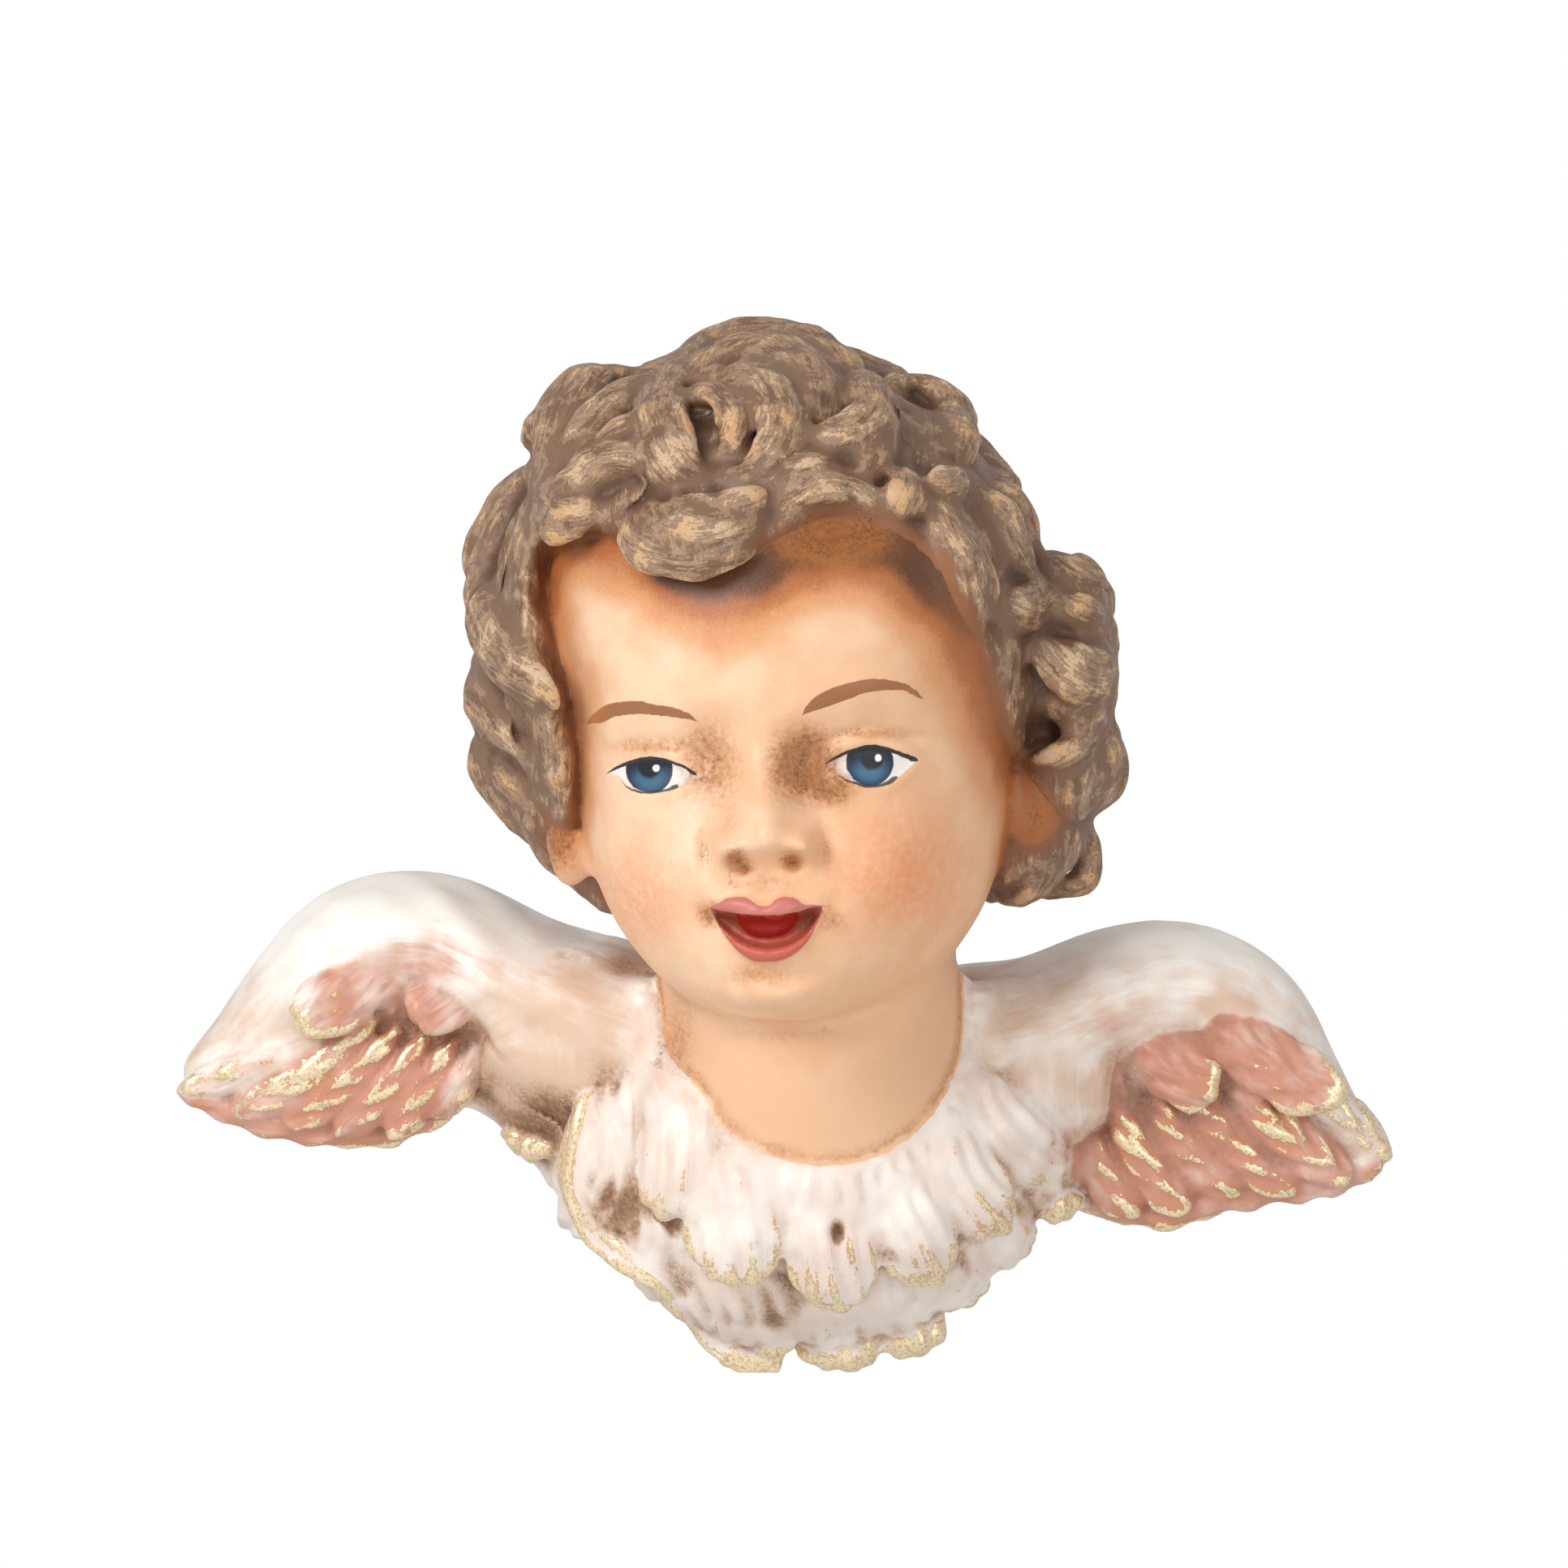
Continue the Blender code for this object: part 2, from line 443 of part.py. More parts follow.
def add_neckline(clay):
    """The raised upper edge of the collar around the neck."""
    path = smooth_curve(NECKLINE, 60)
    x, z = path.T
    neck = smooth_curve(NECK, 60)
    axis_x = np.interp(z, neck[:, 2], neck[:, 0])
    axis_y = np.interp(z, neck[:, 2], neck[:, 1])
    aside = np.clip(x - axis_x, -NECK_RADIUS + 0.5, NECK_RADIUS - 0.5)
    y = axis_y - np.sqrt(NECK_RADIUS**2 - aside**2)
    away = unit(np.stack([x - 4.0, np.zeros_like(x), z + 8.0], axis=1))
    radial = unit(np.stack([x - axis_x, y - axis_y, np.zeros_like(x)], axis=1))
    ups = unit(radial + 0.55 * away)
    slope = unit(away - (away * ups).sum(1)[:, None] * ups)
    spine = np.stack([x, y, z], axis=1) + COLLAR_BAND * slope + 0.6 * ups
    width = COLLAR_BAND * np.sin(math.pi * np.linspace(0.12, 0.88, len(x))) ** 0.4
    clay.sweep(spine, width, 0.45 * width, ups, sides=28)


def add_arm(clay, table):
    """The thick leading edge of a wing."""
    x, z, half, front = smooth_curve(table, 40).T
    spine = np.stack([x, np.zeros_like(x), z], axis=1)
    clay.sweep(spine, half, front, np.tile([0.0, -1.0, 0.0], (len(x), 1)), sides=36)


def add_plate(clay):
    """The flat slab behind the wings and collar."""
    outline = smooth_curve(PLATE_OUTLINE, 160, closed=True)
    rings = [np.insert(outline, 1, depth, axis=1) for depth in (3.0, 0.0, -PLATE_DEPTH)]
    clay.loft(rings)


def inside_distance(outline, x, z):
    """Signed distance to a closed outline: positive inside."""
    start = outline
    run = np.roll(outline, -1, axis=0) - start
    best = np.full(len(x), np.inf)
    inside = np.zeros(len(x), bool)
    for (ax, az), (dx, dz) in zip(start, run):
        t = np.clip(((x - ax) * dx + (z - az) * dz) / (dx * dx + dz * dz), 0, 1)
        best = np.minimum(best, np.hypot(x - ax - t * dx, z - az - t * dz))
        crosses = ((az > z) != (az + dz > z)) & (x < ax + dx * (z - az) / (dz if dz else 1e-9))
        inside ^= crosses
    return np.where(inside, best, -best)


def add_cap(clay):
    """The hair under the locks: a finely divided ellipsoid that steps back behind the face."""
    before = len(clay.mesh.verts)
    clay.ball(HAIR_CAP, steps=90)
    clay.mesh.verts.ensure_lookup_table()
    verts = clay.mesh.verts[before:]
    points = np.array([v.co for v in verts])
    inside = inside_distance(smooth_curve(FACE_WINDOW, 90, closed=True), points[:, 0], points[:, 2])
    push = HAIRLINE_STEP * np.clip((inside + 1.0) / 3.0, 0, 1) * (points[:, 1] < HAIR_CAP.centre[1])
    for vert, amount in zip(verts, push):
        vert.co.y += amount


def build_clay():
    """Every lump of the casting, in millimetres."""
    clay = Clay()
    add_plate(clay)
    for table in (LEFT_ARM, RIGHT_ARM):
        add_arm(clay, table)
    for feather in LEFT_WING + RIGHT_WING:
        add_feather(clay, feather)
    for lappet in COLLAR:
        add_lappet(clay, lappet)
    add_rim(clay)
    add_neckline(clay)
    for ball in SOFT_MASSES + HAIR_MASSES:
        clay.ball(ball)
    add_neck(clay)
    add_head(clay)
    add_cap(clay)
    add_waved_locks(clay)
    for lock in LOCKS:
        add_lock(clay, lock)
    bmesh.ops.recalc_face_normals(clay.mesh, faces=clay.mesh.faces)
    return clay


def collection(name):
    """The collection of that name, made on first use."""
    found = bpy.data.collections.get(name)
    if found is None:
        found = bpy.data.collections.new(name)
        bpy.context.scene.collection.children.link(found)
    return found


def new_object(name, mesh, group=NAME):
    obj = bpy.data.objects.new(name, mesh)
    collection(group).objects.link(obj)
    return obj


def fused(clay, voxel):
    """One skin over all the lumps."""
    mesh = bpy.data.meshes.new("clay")
    clay.mesh.to_mesh(mesh)
    clay.mesh.free()
    rough = new_object("clay", mesh, "cutters")
    remesh = rough.modifiers.new("fuse", "REMESH")
    remesh.mode = "VOXEL"
    remesh.voxel_size = voxel
    skin = bpy.data.meshes.new_from_object(rough.evaluated_get(bpy.context.evaluated_depsgraph_get()))
    bpy.data.objects.remove(rough)
    return skin


def read_points(mesh):
    points = np.empty(len(mesh.vertices) * 3, np.float32)
    mesh.vertices.foreach_get("co", points)
    return points.reshape(-1, 3).astype(float)


def write_points(mesh, points):
    mesh.vertices.foreach_set("co", points.astype(np.float32).ravel())
    mesh.update()


def relaxed(points, mesh, rounds, share):
    """Points after rounds of moving each one a share of the way to the mean of its neighbours."""
    edges = np.empty(len(mesh.edges) * 2, np.int32)
    mesh.edges.foreach_get("vertices", edges)
    a, b = edges.reshape(-1, 2).T
    count = np.bincount(np.concatenate([a, b]), minlength=len(points))[:, None]
    for _ in range(rounds):
        ends, values = np.concatenate([a, b]), np.concatenate([points[b], points[a]])
        total = np.stack([np.bincount(ends, values[:, k], len(points)) for k in range(3)], axis=1)
        points = points + share * (total / count - points)
    return points


def bump(u, w, at_u, at_w, wide, tall):
    """A round rise of height one."""
    return np.exp(-(((u - at_u) / wide) ** 2) - ((w - at_w) / tall) ** 2)


def eye_relief(u, w):
    """Height of the sockets, eyeballs and lids above the plain face."""
    high = np.zeros_like(u)
    for place in EYES:
        side = math.copysign(1.0, place)
        high -= 2.0 * bump(u, w, place - side, 1.4, 8.0, 5.0)
        high -= 1.4 * bump(u, w, place - 7 * side, 1.6, 3.0, 3.6)
        high += 0.9 * bump(u, w, place, 9.4, 8.5, 3.0) + 1.9 * bump(u, w, place, 0.0, 6.2, 3.9)
        opening = np.maximum(1 - ((u - place) / 5.9) ** 2, 0)
        upper, lower = 2.3 * opening, -2.4 * opening
        near = np.exp(-((np.maximum(np.abs(u - place) - 4.9, 0) / 1.5) ** 2))
        high -= 0.35 * np.clip((upper - w) / 0.5, 0, 1) * np.clip((w - lower) / 0.5, 0, 1) * near
        high += 0.5 * near * np.exp(-(((w - upper - 0.8) / 0.8) ** 2))
        high -= 0.5 * near * np.exp(-(((w - upper - 2.4) / 0.7) ** 2))
    return high


def nose_relief(u, w):
    """Height of the nose above the plain face."""
    tall = np.where(w > -9.2, 5.8, 2.1)
    high = 6.0 * np.exp(-((u / 3.5) ** 2) - ((w + 9.2) / tall) ** 2) + 1.4 * bump(u, w, 0.0, -1.0, 3.0, 5.0)
    high += 3.0 * bump(np.abs(u), w, 4.8, -10.2, 1.9, 1.9) - 1.9 * bump(np.abs(u), w, 3.5, -11.7, 1.2, 0.9)
    return high - 0.5 * bump(u, w, 0.0, -14.2, 1.1, 1.4)


def mouth_relief(u, w):
    """Height of the lips and chin above the plain face."""
    high = 1.5 * bump(u, w, 0.0, -19.5, 8.5, 6.5)
    mouth = np.clip(1 - (u / 7.2) ** 2, 0, 1)
    high += 1.3 * np.sqrt(mouth) * np.exp(-(((w + 16.9 + 0.01 * u**2) / 0.9) ** 2))
    high += 1.7 * np.sqrt(mouth) * np.exp(-(((w + 18.0 + 5.4 * mouth) / 1.2) ** 2))
    high -= 3.0 * mouth * np.exp(-(((w + 18.4 + 1.6 * mouth) / 1.5) ** 2))
    high -= 0.7 * bump(np.abs(u), w, 8.2, -17.6, 1.5, 1.7) + 1.1 * bump(u, w, 0.0, -26.3, 5.5, 1.5)
    return high + 1.8 * bump(u, w, 0.0, -29.0, 6.5, 2.8)


def carve_face(points):
    """Moves the front of the head out by the relief of its features, in the face's own upright plane."""
    facing = np.clip((-((points - HEAD_CENTRE) @ head_axes())[:, 1] - 6.0) / 10.0, 0, 1)
    x, z = points[:, 0] - FACE_X, points[:, 2] - FACE_Z
    u = x * math.cos(FACE_TILT) + z * math.sin(FACE_TILT)
    w = z * math.cos(FACE_TILT) - x * math.sin(FACE_TILT)
    cheeks = CHEEK_RISE * bump(np.abs(u), w, 15.0, -12.5, 8.0, 7.5)
    high = eye_relief(u, w) + nose_relief(u, w) + mouth_relief(u, w) + cheeks
    moved = points.copy()
    moved[:, 1] -= high * facing
    return moved


def press_hollows(points):
    """Presses the hollows into the parts that face the front."""
    pushed = points.copy()
    for hollow in HOLLOWS:
        away = np.hypot(points[:, 0] - hollow.x, points[:, 2] - hollow.z) / hollow.radius
        near = away < 2.5
        front = points[near, 1] < points[near, 1].min() + 9.0
        pushed[near, 1] += hollow.depth * np.exp(-away[near] ** 2) * front
    return pushed


def add_cutter(name):
    """A closed helper that is subtracted and never rendered."""
    cutter = new_object(name, bpy.data.meshes.new(name), "cutters")
    cutter.hide_render = True
    cutter.display_type = "WIRE"
    return cutter


def trim_back(plaque):
    """Cuts the back flat at the wall and sinks the hanging hole into it."""
    wall = bmesh.new()
    block = Matrix.Diagonal((WALL_BLOCK, WALL_BLOCK / 2, WALL_BLOCK, 1))
    behind = Matrix.Translation((0, WALL_BLOCK / 4 * MM, 0))
    bmesh.ops.create_cube(wall, size=MM, matrix=behind @ block)
    hole = bmesh.new()
    turn = Matrix.Rotation(math.pi / 2, 4, "X")
    place = Matrix.Translation((HANG_HOLE["x"] * MM, 0, HANG_HOLE["z"] * MM)) @ turn
    radius = HANG_HOLE["radius"] * MM
    depth = 2 * HANG_HOLE["depth"] * MM
    bmesh.ops.create_cone(
        hole, cap_ends=True, segments=20, radius1=radius, radius2=radius, depth=depth, matrix=place)
    for name, shape in (("wall", wall), ("hole", hole)):
        cutter = add_cutter(name)
        shape.to_mesh(cutter.data)
        shape.free()
        cut = plaque.modifiers.new(name, "BOOLEAN")
        cut.operation = "DIFFERENCE"
        cut.solver = "EXACT"
        cut.object = cutter


def plaque_material():
    material = bpy.data.materials.new("painted_casting")
    material.use_nodes = True
    shader = material.node_tree.nodes["Principled BSDF"]
    shader.inputs["Base Color"].default_value = (0.82, 0.66, 0.52, 1)
    shader.inputs["Roughness"].default_value = 0.45
    return material


def main():
    for obj in list(bpy.data.objects):
        bpy.data.objects.remove(obj)
    skin = fused(build_clay(), VOXEL)
    points = read_points(skin)
    points = relaxed(points, skin, SOFT_ROUNDS, SOFT_SHARE)
    points = press_hollows(carve_face(points))
    points = relaxed(points, skin, 1, LAST_SHARE)
    write_points(skin, points * MM)
    plaque = new_object(NAME, skin)
    plaque.data.materials.append(plaque_material())
    plaque.data.shade_smooth()
    thin = plaque.modifiers.new("thin", "DECIMATE")
    thin.ratio = TRIANGLES / (2 * len(skin.polygons))
    trim_back(plaque)


if __name__ == "__main__":
    main()
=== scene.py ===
"""Looks of the cherub wall plaque: one casting, sculpted at a fine grain and painted by hand.

A child's head sits between two wings over a collar of feathers, and the flat back hangs against a wall. X
runs to the right, Z up, and the wall is the plane y = 0, so every depth in front of it is negative. The
tables give millimetres. The lumps of the CAD part are pressed together again here at a finer grain, carved
further, and each point of the skin keeps what it was made of, so that the paint can follow the locks and
feathers.
"""

import logging
import math
from dataclasses import dataclass, field
from enum import IntEnum
from itertools import product

import bpy
import numpy as np
from mathutils import Matrix, Vector
from mathutils.bvhtree import BVHTree
from mathutils.interpolate import poly_3d_calc
from mathutils.kdtree import KDTree


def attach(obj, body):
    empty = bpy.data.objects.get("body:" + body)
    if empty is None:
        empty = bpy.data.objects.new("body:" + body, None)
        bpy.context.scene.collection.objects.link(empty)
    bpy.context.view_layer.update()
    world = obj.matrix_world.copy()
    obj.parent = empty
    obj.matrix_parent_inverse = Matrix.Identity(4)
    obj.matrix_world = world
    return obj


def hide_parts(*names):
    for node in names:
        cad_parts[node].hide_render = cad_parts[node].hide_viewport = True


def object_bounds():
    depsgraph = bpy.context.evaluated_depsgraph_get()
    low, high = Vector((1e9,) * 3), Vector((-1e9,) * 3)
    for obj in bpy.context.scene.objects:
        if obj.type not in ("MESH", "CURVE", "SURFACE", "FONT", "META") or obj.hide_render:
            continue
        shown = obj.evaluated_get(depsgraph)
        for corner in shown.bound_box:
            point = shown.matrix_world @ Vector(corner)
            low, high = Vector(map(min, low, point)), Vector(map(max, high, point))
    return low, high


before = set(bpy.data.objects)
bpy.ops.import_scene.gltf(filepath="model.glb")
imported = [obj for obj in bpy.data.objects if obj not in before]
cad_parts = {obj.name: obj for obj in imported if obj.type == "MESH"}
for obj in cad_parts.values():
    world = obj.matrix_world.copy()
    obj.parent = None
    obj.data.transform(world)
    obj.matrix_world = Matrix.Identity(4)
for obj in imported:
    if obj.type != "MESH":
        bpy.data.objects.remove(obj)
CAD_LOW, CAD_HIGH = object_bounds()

log = logging.getLogger("plaque")

Array = np.ndarray
Pair = tuple[float, float]
Point = tuple[float, float, float]
Colour = tuple[int, int, int]
MM = 0.001
NODE = "cherub_plaque"
FRONT = np.array([0.0, -1.0, 0.0])


class Trait(IntEnum):
    """Columns of what each point of the clay hands on to the paint."""

    SKIN = 0
    HAIR = 1
    WING = 2
    COLLAR = 3
    ROSE = 4
    GOLD = 5
    TONE = 6
    ACROSS = 7
    ALONG = 8
    RIM = 9
    TIP = 10


class Side(IntEnum):
    """Which side of the picture an eye is on."""

    LEFT = 0
    RIGHT = 1


BLENDED = (Trait.SKIN, Trait.HAIR, Trait.WING, Trait.COLLAR, Trait.ROSE, Trait.GOLD)
MEASURES = ("fine", "broad", "to_hair", "to_skin", "to_collar", "blush", "wash", "soil", "front", "calm")


@dataclass(frozen=True)
class Grain:
    """How finely the clay is fused and kept, and over what distances it is worn and measured."""

    voxel: float = 0.5
    triangles: int = 188000
    crisp: float = 0.5
    hair: float = 0.95
    plain: float = 2.0
    fine: float = 0.7
    broad: float = 2.6

    def rounds(self, distance: float) -> int:
        """How many rounds of smoothing reach over a distance in millimetres."""
        return max(1, round(4 * (distance / self.voxel) ** 2))


@dataclass(frozen=True)
class Ball:
    """An ellipsoid."""

    centre: Point
    radii: Point


@dataclass(frozen=True)
class Ring:
    """One level of the skull about the head's own upright axis."""

    height: float
    half_width: float
    front: float
    back: float


@dataclass(frozen=True)
class Lock:
    """A lock of hair along a path (x, z) in the front view, lifted off the mass of the hair."""

    half: float
    lift: float
    path: tuple[Pair, ...]


@dataclass(frozen=True)
class Feather:
    """A wing feather from root to tip (x, depth, z), with its rose tint and gilding."""

    root: Point
    tip: Point
    half: float
    thick: float
    bow: float
    roll: float
    rose: float
    gold: float


@dataclass(frozen=True)
class Lappet:
    """A lappet of the collar from root to tip (x, z), standing off the chest, with its gilding."""

    root: Pair
    tip: Pair
    off_root: float
    off_tip: float
    half: float
    thick: float
    bow: float
    gold: float


@dataclass(frozen=True)
class Station:
    """A section of a wing's arm: its centre (x, z), half its width and how far its front stands out."""

    x: float
    z: float
    half: float
    front: float


@dataclass(frozen=True)
class Hollow:
    """A hollow pressed in from the front."""

    x: float
    z: float
    radius: float
    depth: float


@dataclass(frozen=True)
class Stain:
    """A soft cloud of sprayed or wiped colour on the front."""

    x: float
    z: float
    wide: float
    tall: float
    strength: float


@dataclass(frozen=True)
class Patch:
    """A painted shape on the face between two lines, as points (across, top, bottom)."""

    points: tuple[Point, ...]

    def edges(self, across: Array) -> tuple[Array, Array]:
        """The upper and lower line.

        Args:
            across: Places across the face.

        Returns:
            The heights of the two lines there.
        """
        x, top, bottom = np.array(self.points).T
        return np.interp(across, x, top), np.interp(across, x, bottom)

    def inside(self, across: Array, up: Array) -> Array:
        """How far a place is inside.

        Args:
            across: Places across the face.
            up: Their heights on the face.

        Returns:
            The distance to the nearer line, negative outside.
        """
        top, bottom = self.edges(across)
        ends = np.minimum(across - self.points[0][0], self.points[-1][0] - across)
        return np.minimum(np.minimum(top - up, up - bottom), ends)

    def dome(self, across: Array, up: Array, spare: float) -> Array:
        """A rounded cross-section between the two lines.

        Args:
            across: Places across the face.
            up: Their heights on the face.
            spare: How far the dome reaches past each line.

        Returns:
            Heights from 0 at the edges to 1 where the shape is thickest.
        """
        top, bottom = self.edges(across)
        half = (top - bottom) / 2
        share = 1 - ((up - (top + bottom) / 2) / (half + spare)) ** 2
        ends = np.minimum(across - self.points[0][0], self.points[-1][0] - across)
        return np.sqrt(np.maximum(share, 0)) * np.minimum(1, half / 0.7) * rise(ends, 0.0, 0.8)


def unit(vectors: Array) -> Array:
    """Vectors scaled to length one."""
    return vectors / np.maximum(np.linalg.norm(vectors, axis=-1, keepdims=True), 1e-9)


def rise(value: Array, low: float, high: float) -> Array:
    """A smooth change from 0 at low to 1 at high."""
    t = np.clip((value - low) / (high - low), 0, 1)
    return t * t * (3 - 2 * t)


def bump(x: Array, z: Array, at_x: float, at_z: float, wide: float, tall: float) -> Array:
    """A round rise of height one."""
    return np.exp(-(((x - at_x) / wide) ** 2) - ((z - at_z) / tall) ** 2)


def ripple(points: Array, size: float, seed: int) -> Array:
    """An uneven rise and fall made of waves in fixed directions.

    Args:
        points: Places in millimetres.
        size: Length of the waves.
        seed: Chooses the directions.

    Returns:
        Heights between about -1 and 1.
    """
    dice = np.random.default_rng(seed)
    total = np.zeros(len(points))
    for _ in range(9):
        way = unit(dice.normal(size=3)) * 2 * math.pi / (size * dice.uniform(0.7, 1.4))
        total += np.sin(points @ way + dice.uniform(0, 2 * math.pi))
    return total / 3


def smooth_curve(points: object, count: int, closed: bool = False) -> Array:
    """A Catmull-Rom curve.

    Args:
        points: The points that it passes through.
        count: How many samples to take.
        closed: Whether it returns to its start.

    Returns:
        The samples, even in the curve's parameter.
    """
    points = np.asarray(points, float)
    spans = len(points) if closed else len(points) - 1
    place = np.linspace(0, spans, count, endpoint=not closed)
    index = np.minimum(place.astype(int), spans - 1)
    t = (place - index)[:, None]

    def at(step: int) -> Array:
        """The control points some places on, carried on in line past the ends.

        Args:
            step: How many places on.

        Returns:
            One for each sample.
        """
        wanted = index + step
        if closed:
            return points[wanted % len(points)]
        inside = np.clip(wanted, 0, len(points) - 1)
        over = (wanted - inside)[:, None]
        ends = np.where(over < 0, points[0] - points[1], points[-1] - points[-2])
        return points[inside] + np.abs(over) * ends

    a, b, c, d = at(-1), at(0), at(1), at(2)
    return 0.5 * (2 * b + (c - a) * t + (2 * a - 5 * b + 4 * c - d) * t**2 + (3 * b - a - 3 * c + d) * t**3)


def shell_depth(ball: Ball, x: Array, z: Array) -> Array:
    """Depth of an ellipsoid's front.

    Args:
        ball: The ellipsoid.
        x: Places across.
        z: Places up.

    Returns:
        The depth y, falling back quickly outside the outline.
    """
    share = ((x - ball.centre[0]) / ball.radii[0]) ** 2 + ((z - ball.centre[2]) / ball.radii[2]) ** 2
    front = ball.centre[1] - ball.radii[1] * np.sqrt(np.maximum(1 - share, 0))
    return front + 30 * np.maximum(np.sqrt(share) - 1, 0)


def inside_distance(outline: Array, x: Array, z: Array) -> Array:
    """Signed distance to a closed outline.

    Args:
        outline: Its points (x, z).
        x: Places across.
        z: Places up.

    Returns:
        The distances, positive inside.
    """
    run = np.roll(outline, -1, axis=0) - outline
    best = np.full(len(x), np.inf)
    inside = np.zeros(len(x), bool)
    for (ax, az), (dx, dz) in zip(outline, run):
        t = np.clip(((x - ax) * dx + (z - az) * dz) / (dx * dx + dz * dz), 0, 1)
        best = np.minimum(best, np.hypot(x - ax - t * dx, z - az - t * dz))
        inside ^= ((az > z) != (az + dz > z)) & (x < ax + dx * (z - az) / (dz if dz else 1e-9))
    return np.where(inside, best, -best)


def blade_path(root: Array, tip: Array, bow: float) -> Array:
    """Points from root to tip, bowed sideways in the front view.

    Args:
        root: Where it starts.
        tip: Where it ends.
        bow: How far its middle stands aside.

    Returns:
        The points.
    """
    t = np.linspace(0, 1, 26)[:, None]
    aside = unit(np.cross(unit(tip - root), -FRONT))
    return root + (tip - root) * t + aside * bow * np.sin(math.pi * t)


@dataclass(frozen=True)
class Mark:
    """What a lump is: its region of the casting, its rose tint and its gilding."""

    region: Trait | None
    rose: float = 0.0
    gold: float = 0.0


class Clay:
    """The lumps that are pressed together, with what each point of them is."""

    def __init__(self) -> None:
        """Starts with no clay."""
        self.points: list[list[float]] = []
        self.faces: list[list[int]] = []
        self.traits: list[Array] = []
        self.lumps = 0

    def loft(self, rings: Array, mark: Mark, **traits: Array) -> None:
        """Adds a closed tube through rings of points.

        Args:
            rings: The points, one row for each ring.
            mark: What the lump is.
            traits: Further columns by name, one value for each point.
        """
        steps, around = rings.shape[:2]
        index = len(self.points) + np.arange(steps * around).reshape(steps, around)
        after = np.roll(index, -1, axis=1)
        sides = np.stack([index[:-1], after[:-1], after[1:], index[1:]], axis=-1)
        self.faces += sides.reshape(-1, 4).tolist() + [index[0, ::-1].tolist(), index[-1].tolist()]
        self.points += rings.reshape(-1, 3).tolist()
        rows = np.zeros((steps, around, len(Trait)))
        if mark.region is not None:
            rows[..., mark.region] = 1
        rows[..., Trait.ROSE], rows[..., Trait.GOLD] = mark.rose, mark.gold
        rows[..., Trait.TONE] = (self.lumps * 0.618) % 1
        for name, values in traits.items():
            rows[..., Trait[name.upper()]] = values
        self.traits.append(rows.reshape(-1, len(Trait)))
        self.lumps += 1

    def ball(self, ball: Ball, mark: Mark, steps: int = 26) -> None:
        """Adds an ellipsoid, whose grain runs down it.

        Args:
            ball: Its place and size.
            mark: What it is.
            steps: How many rings of points it has.
        """
        shape = (steps, 2 * steps)
        polar = np.linspace(0.02, math.pi - 0.02, shape[0])[:, None]
        around = np.linspace(0, 2 * math.pi, shape[1], endpoint=False)[None]
        level = np.broadcast_to(np.cos(polar), shape)
        globe = np.stack([np.sin(polar) * np.cos(around), np.sin(polar) * np.sin(around), level], axis=-1)
        rings = np.array(ball.centre) + globe * ball.radii
        self.loft(rings, mark, across=rings[..., 0], along=rings[..., 2])

    def sweep(
        self, spine: Array, wide: Array, high: Array, ups: Array, mark: Mark, ridges: int = 0,
        ridge: float = 0.0, sides: int = 24, turned: bool = False, crisp: bool = False,
    ) -> None:
        """Adds a tube with an oval section, whose upper side carries ridges.

        Args:
            spine: Points along its middle.
            wide: Half its width at each.
            high: Half its thickness at each.
            ups: The way its upper side faces, at each or all along.
            mark: What the lump is.
            ridges: How many ridges the section has all round.
            ridge: Their height as a share of the thickness.
            sides: How many points the section has.
            turned: Whether the grain runs across it and not along it.
            crisp: Whether all of it stays sharp, and not only its tip.
        """
        along = unit(np.gradient(spine, axis=0))
        side = unit(np.cross(along, ups))
        over = np.cross(side, along)
        angle = np.linspace(0, 2 * math.pi, sides, endpoint=False)
        wave = 1 + ridge * np.cos(ridges * angle) * (np.sin(angle) > 0)
        rings = (
            spine[:, None]
            + side[:, None] * (wide[:, None] * np.cos(angle))[..., None]
            + over[:, None] * (high[:, None] * np.sin(angle) * wave)[..., None]
        )
        steps = np.linalg.norm(np.diff(spine, axis=0), axis=1)
        length = np.broadcast_to(np.concatenate([[0], np.cumsum(steps)])[:, None], (len(spine), sides))
        offset = wide[:, None] * np.cos(angle)
        share = length / length.max()
        rim = np.maximum(np.abs(np.cos(angle)) ** 3 * rise(share, 0.2, 0.7), rise(share, 0.72, 1.0))
        if turned:
            length, offset = offset, length
        tip = np.maximum(rise(share, 0.35, 0.9), crisp) * (mark.region in (Trait.WING, Trait.COLLAR))
        self.loft(rings, mark, across=offset, along=length, rim=rim, tip=tip)

    def blade(
        self, spine: Array, half: float, thick: float, ups: Array, mark: Mark, crisp: bool = False,
    ) -> None:
        """Adds a thin oval blade, narrow at its root and round at its tip.

        Args:
            spine: Points along its middle.
            half: Half its width.
            thick: Half its thickness.
            ups: The way its upper side faces, at each point or all along.
            mark: What it is.
            crisp: Whether all of it stays sharp.
        """
        t = np.linspace(0, 1, len(spine))
        tip = np.sqrt(np.clip(1 - ((t - 0.72) / 0.281) ** 2, 0.02, 1)) ** (t > 0.72)
        swell = np.minimum(1.0, 0.25 + 1.6 * t) * tip
        wide, high = half * swell, thick * (0.4 + 0.6 * swell)
        self.sweep(spine, wide, high, ups, mark, ridges=5, ridge=0.08, crisp=crisp)

    def fused(self, voxel: float) -> bpy.types.Object:
        """One skin over all the lumps.

        Args:
            voxel: Its grain in millimetres.

        Returns:
            The new object, in millimetres.
        """
        mesh = bpy.data.meshes.new(NODE)
        mesh.from_pydata(self.points, [], self.faces)
        piece = bpy.data.objects.new("painted_" + NODE, mesh)
        bpy.context.scene.collection.objects.link(piece)
        remesh = piece.modifiers.new("fuse", "REMESH")
        remesh.mode = "VOXEL"
        remesh.voxel_size = voxel
        apply_modifier(piece, remesh.name)
        return piece

